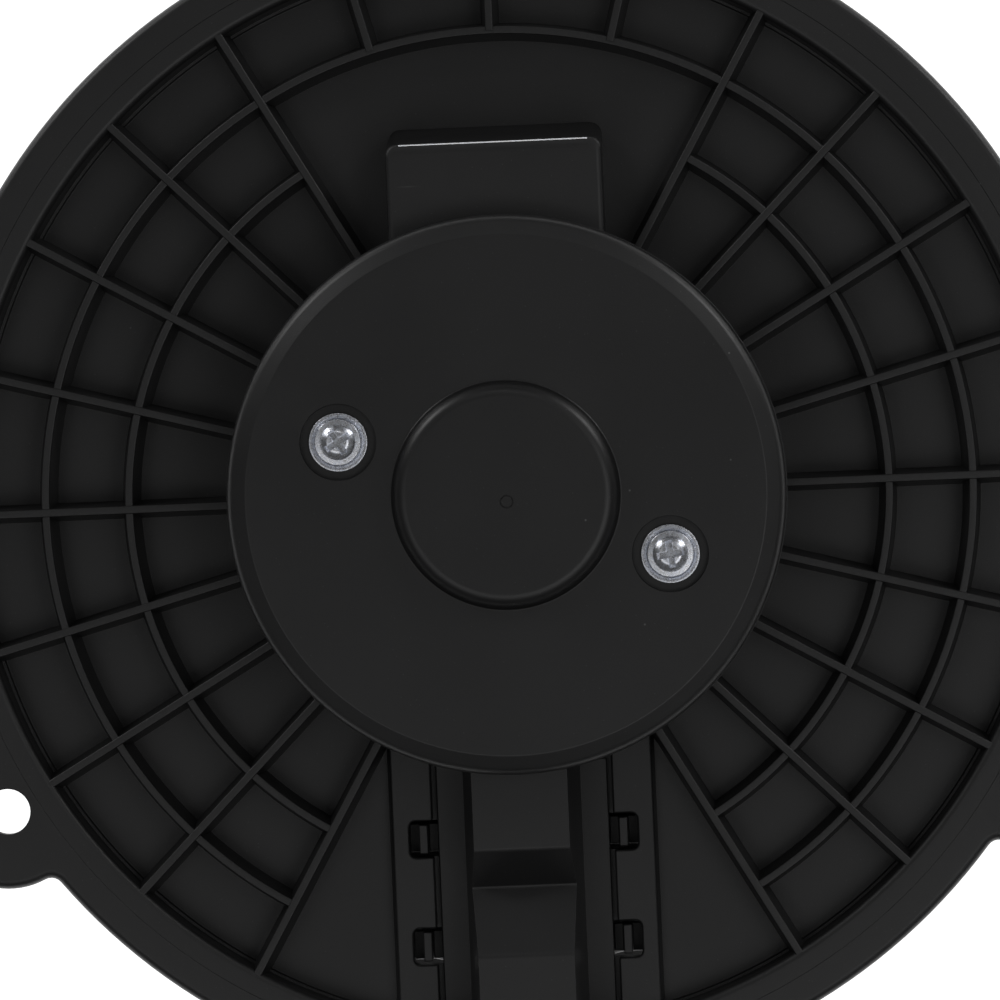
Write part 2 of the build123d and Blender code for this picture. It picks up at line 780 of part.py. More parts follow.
with BuildPart() as armature_windings:
    end_turn_in_r = shaft_r + 4.5
    for low_z, high_z in ((end_turn_bottom_z, core_bottom_z), (core_top_z, end_turn_top_z)):
        tube(slot_out_r - 0.5, end_turn_in_r, low_z, high_z)
    for ring_edges in armature_windings.edges().filter_by(GeomType.CIRCLE).group_by(Axis.Z)[::3]:
        fillet(ring_edges, 1.5)
    with BuildSketch(Plane.XY.offset(core_bottom_z)):
        with PolarLocations((slot_in_r + slot_out_r) / 2, slot_count):
            Rectangle(slot_out_r - slot_in_r - 1, slot_w - 2 * wire_gap)
    extrude(amount=core_top_z - core_bottom_z)
armature_windings.part.label = "armature_windings"
export_step(armature_windings.part, "parts/armature_windings.step")

# spacers and thrust washers stack on the shaft at both ends of the armature
with BuildPart() as shaft_spacers:
    tube(shaft_r + 1.8, shaft_r, commutator_top_z, upper_bearing_z - retainer_t - thrust_t - 0.4)
    tube(shaft_r + 1.8, shaft_r, lower_bearing_z + bearing_len + retainer_t + thrust_t + 0.4, core_bottom_z)
shaft_spacers.part.label = "shaft_spacers"
export_step(shaft_spacers.part, "parts/shaft_spacers.step")

with BuildPart() as thrust_washers:
    top_z = upper_bearing_z - retainer_t - 0.4
    low_z = lower_bearing_z + bearing_len + retainer_t + 0.4
    tube(shaft_r + 2.6, shaft_r, top_z - thrust_t, top_z)
    tube(shaft_r + 2.6, shaft_r, low_z, low_z + thrust_t)
thrust_washers.part.label = "thrust_washers"
export_step(thrust_washers.part, "parts/thrust_washers.step")

# ------------------------------------------------------------------ commutator
with BuildPart() as commutator_core:
    tube(commutator_core_r, shaft_r, commutator_bottom_z, commutator_top_z)
commutator_core.part.label = "commutator_core"
export_step(commutator_core.part, "parts/commutator_core.step")

with BuildPart() as commutator_bars:
    tube(commutator_r, commutator_core_r, commutator_bottom_z, commutator_top_z)
    tube(commutator_r + 1.2, commutator_core_r, commutator_bottom_z, commutator_bottom_z + 1.0)
    with BuildSketch(Plane.XY.offset(commutator_bottom_z)):
        for i in range(slot_count):
            radial_bar((i + 0.5) * 360 / slot_count, commutator_core_r - 0.5, commutator_r + 2, bar_gap)
    extrude(amount=commutator_top_z - commutator_bottom_z, mode=Mode.SUBTRACT)
commutator_bars.part.label = "commutator_bars"
export_step(commutator_bars.part, "parts/commutator_bars.step")

# ------------------------------------------------------------------ brush gear
with BuildPart() as brush_card:
    with BuildSketch(Plane.XY.offset(card_bottom_z)):
        Circle(card_r)
        Circle(card_hole_r, mode=Mode.SUBTRACT)
        with PolarLocations(screw_pcr, 2, start_angle=screw_angle):
            Circle(screw_r + 1.2, mode=Mode.SUBTRACT)
        with Locations((wire_x, wire_start_y), (-wire_x, wire_start_y)):
            Circle(wire_r, mode=Mode.SUBTRACT)
    extrude(amount=can_top_z - card_bottom_z)
brush_card.part.label = "brush_card"
export_step(brush_card.part, "parts/brush_card.step")

holder_h = brush_h + 2 * (brush_play + holder_wall)
holder_w = brush_w + 2 * (brush_play + holder_wall)
holder_mid_y = (holder_in_y + holder_out_y) / 2
with BuildPart() as brush_holders:
    for side in (-1, 1):
        with Locations((0, side * holder_mid_y, brush_z)):
            Box(holder_w, holder_out_y - holder_in_y, holder_h)
        with Locations((0, side * (holder_mid_y - holder_wall), brush_z)):
            Box(holder_w - 2 * holder_wall, holder_out_y - holder_in_y, holder_h - 2 * holder_wall,
                mode=Mode.SUBTRACT)
        # slot in the floor of the holder for the brush lead
        with Locations((0, side * (holder_mid_y + 1), brush_z - holder_h / 2)):
            Box(1.6, 9, 2, mode=Mode.SUBTRACT)
brush_holders.part.label = "brush_holders"
export_step(brush_holders.part, "parts/brush_holders.step")


def carbon_brush(side):
    """Add one carbon brush to the open part, its face hollowed to the commutator."""
    brush_in_y = commutator_r + brush_gap
    with Locations((0, side * (brush_in_y + brush_len / 2 - 0.4), brush_z)):
        Box(brush_w, brush_len + 0.8, brush_h)
    with Locations((0, 0, brush_z)):
        Cylinder(brush_in_y, 2 * brush_h, mode=Mode.SUBTRACT)


with BuildPart() as front_brush:
    carbon_brush(-1)
front_brush.part.label = "front_brush"
export_step(front_brush.part, "parts/front_brush.step")

with BuildPart() as rear_brush:
    carbon_brush(1)
rear_brush.part.label = "rear_brush"
export_step(rear_brush.part, "parts/rear_brush.step")

# brush springs: coils between the brush and the closed end of its holder
spring_in_y = commutator_r + brush_gap + brush_len + 0.4 + spring_wire_r
spring_len = holder_out_y - holder_wall - spring_wire_r - 0.1 - spring_in_y


def brush_spring(side):
    """Add one coil spring to the open part."""
    with BuildLine() as coil:
        Helix(
            pitch=spring_len / spring_turns,
            height=spring_len,
            radius=spring_r,
            center=(0, side * spring_in_y, brush_z),
            direction=(0, side, 0),
        )
    with BuildSketch(Plane(origin=coil.line @ 0, z_dir=coil.line % 0)) as wire:
        Circle(spring_wire_r)
    sweep(wire.sketch, path=coil.line, is_frenet=True)


with BuildPart() as front_brush_spring:
    brush_spring(-1)
front_brush_spring.part.label = "front_brush_spring"
export_step(front_brush_spring.part, "parts/front_brush_spring.step")

with BuildPart() as rear_brush_spring:
    brush_spring(1)
rear_brush_spring.part.label = "rear_brush_spring"
export_step(rear_brush_spring.part, "parts/rear_brush_spring.step")


def brush_lead(side):
    """Add the braided lead from one brush, through the holder's slot, to its choke."""
    brush_bottom_z = brush_z - brush_h / 2
    with BuildLine() as route:
        FilletPolyline(
            (0, side * lead_y, brush_bottom_z),
            (0, side * lead_y, lead_low_z),
            (side * 12.0, side * 17.0, lead_low_z),
            (side * choke_x, side * 11.5, lead_low_z),
            (side * choke_x, side * (choke_len / 2 + 0.9), choke_z - 2.0),
            (side * choke_x, side * (choke_len / 2 + 0.5), choke_z),
            radius=0.55,
        )
    with BuildSketch(Plane(origin=route.line @ 0, z_dir=route.line % 0)) as braid:
        Circle(lead_r)
    sweep(braid.sketch, path=route.line)


with BuildPart() as front_brush_lead:
    brush_lead(-1)
front_brush_lead.part.label = "front_brush_lead"
export_step(front_brush_lead.part, "parts/front_brush_lead.step")

with BuildPart() as rear_brush_lead:
    brush_lead(1)
rear_brush_lead.part.label = "rear_brush_lead"
export_step(rear_brush_lead.part, "parts/rear_brush_lead.step")

with BuildPart() as chokes:
    with BuildSketch(Plane.XZ.offset(-choke_len / 2)):
        with Locations((choke_x, choke_z), (-choke_x, choke_z)):
            Circle(choke_core_r)
    extrude(amount=choke_len)
    with BuildSketch(Plane.XZ.offset(-choke_len / 2 + 2)):
        with Locations((choke_x, choke_z), (-choke_x, choke_z)):
            Circle(choke_coil_r)
    extrude(amount=choke_len - 4)
chokes.part.label = "chokes"
export_step(chokes.part, "parts/chokes.step")

# ------------------------------------------------------------------ fan wheel
bell_profile = [
    (wheel_r, wheel_top_z),
    (55.0, wheel_top_z),
    (46.5, -30.0),
    (40.5, -48.0),
    (hub_r - 1, -54.5),
    (hub_r - 1, -56.5),
    (42.0, -49.8),
    (48.4, -30.7),
    (56.3, wheel_top_z - 2),
    (wheel_r, wheel_top_z - 2),
]
with BuildPart() as fan_wheel:
    # back plate and bell
    with BuildSketch(Plane.XZ):
        Polygon(*bell_profile)
    revolve(axis=Axis.Z)
    # blades, curved forwards
    with BuildSketch(Plane.XY.offset(blade_bottom_z)) as blade_ring:
        with BuildLine() as blade_outline:
            lower = ThreePointArc((blade_in_r, -0.5), (69.0, 0.5), (74.9, 5.6))
            upper = ThreePointArc((blade_in_r, 0.5), (68.5, 1.5), (74.2, 6.3))
            Line(lower @ 0, upper @ 0)
            Line(lower @ 1, upper @ 1)
        blade = make_face(mode=Mode.PRIVATE)
        with PolarLocations(0, blade_count):
            add(blade)
    extrude(amount=blade_top_z - blade_bottom_z)
    # end ring round the inlet, and the hub with its gussets
    tube(wheel_r, end_ring_in_r, wheel_bottom_z, wheel_bottom_z + end_ring_h)
    tube(wheel_r, wheel_r - 1.4, wheel_top_z - 4, wheel_top_z - 1)
    for i in range(gusset_count):
        with BuildSketch(Plane.XZ.rotated((0, 0, i * 360 / gusset_count))):
            Polygon((hub_r - 1, -55.5), (36, -50.2), (hub_r - 1, hub_bottom_z + 1.5))
        extrude(amount=gusset_t / 2, both=True)
    tube(hub_r, insert_r, hub_bottom_z, -54.0)
fan_wheel.part.label = "fan_wheel"
export_step(fan_wheel.part, "parts/fan_wheel.step")

with BuildPart() as hub_insert:
    tube(insert_r, shaft_r, hub_bottom_z, -55.0)
hub_insert.part.label = "hub_insert"
export_step(hub_insert.part, "parts/hub_insert.step")

with BuildPart() as retaining_clip:
    tube(insert_r + 1, shaft_r, hub_bottom_z - 0.8, hub_bottom_z)
    with BuildSketch(Plane.XY.offset(hub_bottom_z - 0.8)):
        with PolarLocations(shaft_r + 0.5, 6):
            SlotOverall(2.6, 0.8)
    extrude(amount=0.8, mode=Mode.SUBTRACT)
retaining_clip.part.label = "retaining_clip"
export_step(retaining_clip.part, "parts/retaining_clip.step")

# balance clips: channels pushed over the inner edges of two blades
with BuildPart() as balance_clips:
    for blade_index in balance_blades:
        turn = blade_index * 360 / blade_count
        with BuildSketch(Plane.XY.rotated((0, 0, turn)).offset(-52)):
            with Locations((blade_in_r + 1.2, -0.05)):
                Rectangle(3.6, 2.5)
            with Locations((blade_in_r + 1.8, -0.05)):
                Rectangle(3.6, 1.7, mode=Mode.SUBTRACT)
        extrude(amount=8)
balance_clips.part.label = "balance_clips"
export_step(balance_clips.part, "parts/balance_clips.step")
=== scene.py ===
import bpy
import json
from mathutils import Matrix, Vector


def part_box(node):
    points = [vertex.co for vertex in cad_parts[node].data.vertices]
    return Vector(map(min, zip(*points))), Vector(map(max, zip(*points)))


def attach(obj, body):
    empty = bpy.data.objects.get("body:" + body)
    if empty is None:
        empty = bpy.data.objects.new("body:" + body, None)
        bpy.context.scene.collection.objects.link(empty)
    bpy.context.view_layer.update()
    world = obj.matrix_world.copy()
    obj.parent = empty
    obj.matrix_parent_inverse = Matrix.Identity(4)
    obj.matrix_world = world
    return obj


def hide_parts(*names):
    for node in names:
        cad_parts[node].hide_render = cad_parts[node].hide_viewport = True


bl_info = {
    "name": "Heater blower",
    "version": (1, 0, 0),
    "blender": (4, 5, 0),
    "location": "View3D > Sidebar > Blower",
    "description": "Builds a car heater blower: ribbed flange, motor, cable channel and fan wheel",
    "category": "Add Mesh",
}

import json
import math

import bmesh
import bpy
from bpy.props import FloatProperty, FloatVectorProperty, IntProperty, PointerProperty
from bpy.types import Operator, Panel, PropertyGroup
from mathutils import Matrix, Vector

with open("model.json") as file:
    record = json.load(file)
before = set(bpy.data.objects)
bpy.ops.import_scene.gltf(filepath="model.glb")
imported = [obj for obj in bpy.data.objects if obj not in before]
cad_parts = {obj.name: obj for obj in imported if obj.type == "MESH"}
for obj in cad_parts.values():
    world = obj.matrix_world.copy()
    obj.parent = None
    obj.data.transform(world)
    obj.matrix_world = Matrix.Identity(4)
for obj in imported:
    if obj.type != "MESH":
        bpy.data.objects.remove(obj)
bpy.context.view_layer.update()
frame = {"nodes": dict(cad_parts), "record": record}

# Metres.  Z = 0 is the flange's mounting face, +Z towards the motor cover, +Y towards the
# cooling duct and -Y towards the connector.
MM = 0.001
FLANGE_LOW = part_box("mounting_flange")[0]
COVER_LOW, COVER_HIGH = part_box("motor_cover")
WASHER_LOW, WASHER_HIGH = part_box("cover_screw_washers")
SCREW_LOW, SCREW_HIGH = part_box("cover_screws")
CHANNEL_LOW, CHANNEL_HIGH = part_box("wire_cover")
SHELL_LOW, SHELL_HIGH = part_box("connector_shell")
WHEEL_LOW, WHEEL_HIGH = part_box("fan_wheel")
HOLES = next(m for m in frame["record"]["mounts"] if m["name"] == "mounting_holes")["dims"]
RIM_R = HOLES["pcd_mm"] * MM / 2
SHARP = math.radians(38)


def length(name, millimetres, text):
    """A size that a user can change, kept in metres."""
    return FloatProperty(name=name, description=text, default=millimetres * MM, unit="LENGTH", precision=5)


def angle(name, degrees, text):
    """An angle that a user can change."""
    return FloatProperty(name=name, description=text, default=math.radians(degrees), unit="ROTATION")


def colour(name, value, text):
    """A colour that a user can change."""
    return FloatVectorProperty(name=name, description=text, default=value, subtype="COLOR", min=0, max=1)


class FlangeSizes(PropertyGroup):
    plate_in: length("Plate's inner radius", 89.0, "Where the rim plate takes over from the dish")
    rim_inner: length("Rim's inner radius", 85.35, "Radius of the wall inside the rim")
    rim_thick: length("Rim thickness", 3.0, "Thickness of the rim and its ears")
    rim_round: length("Outer rounding", 1.4, "Rounding of the rim's outer top edge")
    rim_inner_round: length("Inner rounding", 1.25, "Rounding of the rim's inner top edge")
    ear_r: length("Ear radius", 12.3, "Radius of each fixing ear")
    ear_blend: length("Ear blend", 2.0, "Hollow rounding where an ear meets the rim")
    spigot_r: length("Spigot radius", 88.0, "Radius of the round spigot under the rim")
    floor_z: length("Dish floor", -5.0, "Height of the dish's floor")
    floor_t: length("Floor thickness", 2.5, "Thickness of the dish's floor")
    wall_foot: length("Wall's foot", 85.25, "Radius where the wall meets its ledge")
    ledge_in: length("Ledge", 84.8, "Inner radius of the small ledge round the floor")
    floor_edge: length("Floor's edge", 84.6, "Radius of the dish's floor")
    ledge_h: length("Ledge height", 0.6, "Height of the ledge above the floor")
    rib_t: length("Rib width", 1.25, "Width of a rib's top")
    rib_draft: length("Rib draft", 0.85, "How much further out each side of a rib's foot stands")
    rib_round: length("Rib rounding", 0.24, "Rounding of a rib's top edges")
    rib_top: length("Rib top", 2.8, "Height of the radial ribs' tops")
    ring_drop: length("Ring drop", 0.2, "How much lower the ring ribs are")
    rib_end: length("Rib's outer end", 86.2, "Radius where the radial ribs run into the rim")
    outer_ring: length("Outer ring", 73.4, "Radius of the outer ring rib")
    inner_ring: length("Inner ring", 60.15, "Radius of the inner ring rib")
    rib_count: IntProperty(name="Rib places", description="Radial rib places in a full turn", default=24)
    pocket_r: length("Pocket radius", 42.0, "Outer radius of the motor pocket")
    pocket_bore: length("Pocket bore", 39.0, "Inner radius of the motor pocket")
    lug_r: length("Lug radius", 8.0, "Radius of the two screw lugs in the pocket")
    lug_t: length("Lug thickness", 2.5, "Thickness of the screw lugs")
    lead_half: length("Lead opening", 7.5, "Half the width of the pocket's opening for the leads")
    lead_low: length("Lead opening's bottom", -4.0, "Height of the bottom of the leads' opening")
    lead_high: length("Lead opening's top", 10.0, "Height of the top of the leads' opening")
    lead_round: length("Lead opening's corners", 2.0, "Rounding of the corners of the leads' opening")


class DuctSizes(PropertyGroup):
    half_w: length("Half width", 17.0, "Half the width of the cooling duct")
    start_y: length("Start", 38.5, "Where the duct leaves the motor pocket")
    end_top_y: length("End at the top", 55.6, "Where the duct's top ends")
    end_foot_y: length("End at the foot", 58.6, "Where the duct's end wall meets the floor")
    top_z: length("Top", 10.8, "Height of the duct's top")
    corner_r: length("Corner rounding", 2.0, "Rounding of the duct's upright corners")
    edge_r: length("Edge rounding", 0.9, "Rounding of the duct's top edge")
    far_slope: length("Far slope", 1.6, "Width of the slope at the far end of the duct's top")
    # the bright line is a painted highlight: a thin near-white metal strip on the far edge
    crown: length("Crown", 0.6, "Height of the slope round the duct's top")
    line_w: length("Line width", 0.2, "Width of the bright line along the far edge")
    line_half: length("Line half length", 14.85, "Half the length of the bright line")
    wall: length("Wall", 2.0, "Wall thickness of the duct")


class ChannelSizes(PropertyGroup):
    strip_in: length("Strip's inner side", 14.35, "Inner side of each raised strip")
    strip_out: length("Strip's outer side", 20.8, "Outer side of each raised strip")
    strip_draft: length("Strip draft", 0.55, "How much further out a strip's outer foot stands")
    strip_top: length("Strip top", -2.0, "Height of the strips")
    strip_start: length("Strip start", -37.5, "End of the strips under the motor cover")
    strip_end: length("Strip end", -84.5, "End of the strips at the rim")
    window_in: length("Window's inner side", 12.5, "Inner side of the latch windows, under the bands")
    window_out: length("Window's outer side", 18.13, "Outer side of the latch windows")
    window_len: length("Window length", 5.8, "Length of a latch window")
    window_r: length("Window corners", 1.0, "Rounding of a latch window's corners")
    near_window: length("First windows", -54.3, "Place of the windows near the motor")
    far_window: length("Second windows", -71.4, "Place of the windows near the rim")
    band_out: length("Band side", 13.65, "Outer side of the cover's flat bands")
    band_t: length("Band thickness", 1.2, "Thickness of the flat bands")
    ridge_foot: length("Ridge foot", 9.5, "Half the width of the ridge at its foot")
    ridge_top: length("Ridge top", 7.55, "Half the width of the ridge at its top")
    ridge_round: length("Ridge rounding", 1.3, "Rounding of the ridge's long edges")
    ridge_wall: length("Ridge wall", 1.8, "Wall thickness of the ridge")
    valley_start: length("Valley start", -55.9, "Where the ridge's top drops away")
    valley: length("Valley", -61.9, "Lowest place of the dip in the ridge")
    valley_end: length("Valley end", -72.4, "Where the dip is back at full height")
    valley_z: length("Valley height", 5.0, "Height of the dip's lowest place")
    latch_x: length("Latch place", 15.88, "Sideways place of the latch fingers")
    latch_w: length("Latch width", 4.6, "Width of a latch finger")
    latch_t: length("Latch thickness", 1.4, "Thickness of a latch finger")
    latch_top: length("Latch top", -1.6, "Height of a latch finger's top")
    latch_wall: length("Latch root", 1.0, "Thickness of the wall that drops through a window")
    web_t: length("Latch web", 0.9, "Thickness of the web between the wall and the finger")
    barb: length("Barb", 2.6, "How far a latch finger's barb reaches out")
    barb_t: length("Barb thickness", 0.7, "Thickness of the barb")


class CoverSizes(PropertyGroup):
    radius: length("Radius", 43.8, "Radius of the motor cover's side")
    lip: length("Lip", 0.2, "How far the lip at the base stands out")
    top_z: length("Top", 19.5, "Height of the flat top")
    slope_w: length("Slope width", 3.1, "Width of the shallow slope round the top, before its rounding")
    slope_drop: length("Slope drop", 1.35, "How far the shallow slope falls")
    edge_r: length("Edge rounding", 2.0, "Rounding of the top's outer edge")
    wall: length("Wall", 2.6, "Wall thickness")
    boss_r: length("Boss radius", 17.75, "Radius of the raised middle")
    boss_round: length("Boss rounding", 2.35, "Rounding of the raised middle's edge")
    foot_round: length("Boss foot", 0.35, "Hollow rounding at the foot of the raised middle")
    gate_x: length("Gate mark X", 0.15, "Place of the moulding gate mark")
    gate_y: length("Gate mark Y", -1.0, "Place of the moulding gate mark")
    gate_r: length("Gate mark radius", 0.95, "Radius of the gate mark's ring")
    gate_w: length("Gate mark width", 0.24, "Width of the gate mark's groove")
    gate_depth: length("Gate mark depth", 0.3, "Depth of the gate mark's groove")
    screw_r: length("Screw circle", 27.35, "Radius of the circle that the screws stand on")
    screw_turn: angle("Screw angle", -20.9, "Angle of the first screw")
    screws_off_x: length("Screws off X", -0.28, "How far the pair of screws stands off the axis")
    screws_off_y: length("Screws off Y", -0.46, "How far the pair of screws stands off the axis")
    seat_r: length("Seat radius", 6.0, "Radius of the sunken screw seats")
    seat_z: length("Seat height", 18.2, "Height of the sunken screw seats")
    hole_r: length("Screw hole", 2.3, "Radius of the screw holes")


class ScrewSizes(PropertyGroup):
    washer_r: length("Washer radius", 4.6, "Outer radius of the captive washer")
    head_r: length("Head radius", 3.62, "Radius of the screw's head")
    head_flat: length("Head flange", 1.7, "Height of the flat collar round the head")
    dome_r: length("Dome radius", 2.72, "Radius of the domed part of the head")
    shank_r: length("Shank radius", 2.0, "Radius of the screw's shank")
    recess_r: length("Recess reach", 2.42, "How far the cross recess reaches from the middle")
    recess_w: length("Recess width", 1.2, "Width of the cross recess's arms")
    recess_depth: length("Recess depth", 1.5, "Depth of the cross recess")
    recess_taper: FloatProperty(name="Recess taper", default=0.72,
                                description="Size of the recess at its bottom, as a share of its mouth")
    washer_rim: length("Washer rim", 0.5, "Width of the raised rim round the washer's face")
    washer_dish: length("Washer dish", 0.1, "How far the washer's face is sunk inside its rim")
    washer_bed: length("Head bed", 0.3, "How far the bed under the screw's head is sunk")
    washer_play: length("Washer play", 0.1, "Gap between the washer's hole and the shank")
    tip_chamfer: length("Tip chamfer", 0.5, "Chamfer at the end of the shank")
    first_turn: angle("First recess", 8, "How far round the first screw was tightened")
    second_turn: angle("Second recess", 31, "How far round the second screw was tightened")


class WheelSizes(PropertyGroup):
    blade_count: IntProperty(name="Blades", description="Number of blades", default=43)
    blade_top: length("Blade top", -12.0, "Height of the blades' upper ends")
    blade_bottom: length("Blade bottom", -78.5, "Height of the blades' lower ends")
    ring_h: length("End ring height", 7.0, "Height of the ring round the inlet")
    ring_in: length("End ring's inner radius", 73.2, "Inner radius of the ring round the inlet")
    plate_t: length("Back plate", 2.0, "Thickness of the back plate")
    bell_top_r: length("Bell's upper start", 55.0, "Radius where the bell leaves the back plate's top")
    bell_under_r: length("Bell's lower start", 56.3, "Radius where the bell leaves the plate's underside")
    hub_r: length("Hub radius", 11.0, "Outer radius of the hub")
    hub_low: length("Hub bottom", -72.0, "Height of the hub's lower end")
    insert_r: length("Insert radius", 7.0, "Radius of the brass insert in the hub")
    gusset_count: IntProperty(name="Gussets", description="Number of gussets at the hub", default=6)
    gusset_t: length("Gusset thickness", 1.6, "Thickness of the gussets")
    gusset_r: length("Gusset reach", 36.0, "Radius that the gussets reach")
    gusset_top: length("Gusset top", -55.5, "Height of the gussets' top at the hub")
    gusset_tip_z: length("Gusset tip", -50.2, "Height of the gussets' outer tips")
    gusset_low: length("Gusset foot", 1.5, "How far above the hub's end the gussets start")
    lip_w: length("Lip width", 1.4, "Width of the lip under the back plate's edge")
    lip_h: length("Lip height", 4.0, "How far the lip reaches below the back plate's top")
    hub_high: length("Hub top", -54.0, "Height of the hub's upper end")


class ConnectorSizes(PropertyGroup):
    wall: length("Wall", 1.8, "Wall thickness of the socket")
    back_t: length("Back", 2.4, "Thickness of the socket's back wall")
    corner_r: length("Corners", 1.2, "Rounding of the socket's corners")
    body_top: length("Body top", 12.0, "Height of the socket's top wall")
    terminal_x: length("Terminal place", 3.9, "Sideways place of the terminals")
    terminal_z: length("Terminal height", 7.0, "Height of the terminals")
    slot_half_w: length("Slot half width", 3.2, "Half the width of a terminal's slot")
    slot_half_h: length("Slot half height", 0.45, "Half the height of a terminal's slot")
    inner_r: length("Inner corners", 0.8, "Rounding of the socket's inner corners")
    ramp_start: length("Ramp start", 2.0, "Where the locking ramp starts, from the mouth")
    ramp_crest: length("Ramp crest", 5.5, "Where the locking ramp is at full height, from the mouth")
    ramp_end: length("Ramp end", 6.5, "Where the locking ramp ends, from the mouth")
    ramp_half: length("Ramp half width", 2.6, "Half the width of the locking ramp")
    guide_x: length("Guide place", 6.5, "Sideways place of the guide ribs")
    guide_half: length("Guide half width", 0.6, "Half the width of a guide rib")
    guide_inset: length("Guide inset", 0.5, "How far a guide rib ends inside the socket's ends")
    guide_h: length("Guide height", 1.2, "Height of a guide rib from its sunken foot")
    foot: length("Foot", 0.2, "How far the ramp and ribs are sunk into the socket")


class Finishes(PropertyGroup):
    flange: colour("Flange", (0.0095, 0.0095, 0.0098), "Moulded black of the flange and cable cover")
    cover: colour("Cover", (0.0095, 0.0095, 0.0098), "Moulded black of the motor cover")
    connector: colour("Connector", (0.014, 0.014, 0.0145), "Smooth black of the connector")
    wheel: colour("Wheel", (0.016, 0.016, 0.0168), "Satin black of the fan wheel")
    zinc: colour("Zinc", (0.82, 0.83, 0.86), "Zinc plate of the screws and washers")
    steel: colour("Steel", (0.48, 0.49, 0.50), "Plated steel of the motor")
    copper: colour("Copper", (0.60, 0.22, 0.10), "Enamelled copper")
    brass: colour("Brass", (0.72, 0.52, 0.22), "Brass")
    bronze: colour("Bronze", (0.44, 0.27, 0.12), "Oil-filled bronze")
    tin: colour("Tin", (0.62, 0.61, 0.57), "Tinned terminals")
    phenolic: colour("Phenolic", (0.10, 0.045, 0.02), "Moulded phenolic")
    nylon: colour("Nylon", (0.58, 0.55, 0.47), "Natural nylon")
    dust: colour("Dust", (0.20, 0.20, 0.20), "Dust and scuffs")


class StageSettings(PropertyGroup):
    distance: FloatProperty(name="Distance", description="How far off the camera stands", default=1.197,
                            unit="LENGTH")
    lens: FloatProperty(name="Lens", description="Focal length in millimetres", default=272.64)
    roll: angle("Roll", 2.4, "How far the object is turned in the picture")
    lean_side: angle("Lean to the side", 1.55, "How far the camera leans to the right")
    lean_up: angle("Lean up", 0.6, "How far the camera leans towards the duct")
    aim_side: length("Aim to the side", -1.343, "How far the aim stands off the axis, to the right")
    aim_up: length("Aim up", -0.948, "How far the aim stands off the axis, upwards")
    sky: FloatProperty(name="Surround", description="Brightness of the plain surround", default=0.06)
    ceiling: FloatProperty(name="Ceiling lights", description="Power of the strongest ceiling light",
                           default=1.02)
    side: FloatProperty(name="Side lights", description="Power of each low side light", default=2.9)
    back: FloatProperty(name="Back light", description="Power of the small back light", default=0.4)
    floor_glow: FloatProperty(name="Floor", description="Brightness of the white floor", default=1.05)
    # the shade is a painted shadow on the floor under the object
    shade_r: length("Shade", 95.0, "Radius of the dark floor under the wheel")
    shade_edge: length("Shade's edge", 12.0, "Width over which the dark floor turns white")


GROUPS = {
    "blower_flange": FlangeSizes,
    "blower_duct": DuctSizes,
    "blower_channel": ChannelSizes,
    "blower_cover": CoverSizes,
    "blower_screws": ScrewSizes,
    "blower_wheel": WheelSizes,
    "blower_connector": ConnectorSizes,
    "blower_finishes": Finishes,
    "blower_stage": StageSettings,
}


# ---------------------------------------------------------------- outlines and solids
def polar(radius, turn, height=0.0):
    """A point from its radius, its angle in degrees and its height."""
    return Vector((radius * math.cos(math.radians(turn)), radius * math.sin(math.radians(turn)), height))


def rounded(corners, steps=5):
    """The points of a closed outline whose corners are (x, y, rounding)."""
    points = []
    for i, (x, y, radius) in enumerate(corners):
        here = Vector((x, y))
        if radius <= 0:
            points.append(here)
            continue
        before = (Vector(corners[i - 1][:2]) - here).normalized()
        after = (Vector(corners[(i + 1) % len(corners)][:2]) - here).normalized()
        half = before.angle(after) / 2
        centre = here + (before + after).normalized() * radius / math.sin(half)
        first = here + before * radius / math.tan(half) - centre
        last = here + after * radius / math.tan(half) - centre
        turn = first.angle_signed(last)
        for step in range(steps + 1):
            points.append(centre + Matrix.Rotation(-turn * step / steps, 2) @ first)
    return points


def box_outline(low_x, low_y, high_x, high_y, radius=0.0):
    """A rectangle with rounded corners."""
    return rounded([(low_x, low_y, radius), (high_x, low_y, radius),
                    (high_x, high_y, radius), (low_x, high_y, radius)])


def spun(mesh, outline, start=0.0, turn=360.0, steps=180):
    """Spin a closed (radius, height) outline about the motor axis."""
    verts = [mesh.verts.new(polar(r, start, z)) for r, z in outline]
    edges = [mesh.edges.new(pair) for pair in zip(verts, verts[1:] + verts[:1])]
    geometry = verts + edges
    if turn < 360:
        geometry.append(mesh.faces.new(verts))
    bmesh.ops.spin(mesh, geom=geometry, cent=(0, 0, 0), axis=(0, 0, 1), dvec=(0, 0, 0),
                   angle=math.radians(turn), steps=steps, use_merge=turn >= 360, use_duplicate=False)


def lathe(mesh, outline, steps=96, centre=(0, 0)):
    """Spin an open (radius, height) outline that starts and ends on its own upright axis."""
    cx, cy = centre
    verts = [mesh.verts.new((cx + r, cy, z)) for r, z in outline]
    edges = [mesh.edges.new(pair) for pair in zip(verts, verts[1:])]
    bmesh.ops.spin(mesh, geom=verts + edges, cent=(cx, cy, 0), axis=(0, 0, 1), dvec=(0, 0, 0),
                   angle=math.tau, steps=steps, use_merge=True, use_duplicate=False)


def prism(mesh, outline, place, depth):
    """Raise a flat outline into a solid along its plane's own Z; gives back the far end's corners."""
    verts = [mesh.verts.new(place @ Vector((p[0], p[1], 0))) for p in outline]
    base = mesh.faces.new(verts)
    grown = bmesh.ops.extrude_face_region(mesh, geom=[base])["geom"]
    moved = [v for v in grown if isinstance(v, bmesh.types.BMVert)]
    bmesh.ops.translate(mesh, verts=moved, vec=place.to_3x3() @ Vector((0, 0, depth)))
    return moved


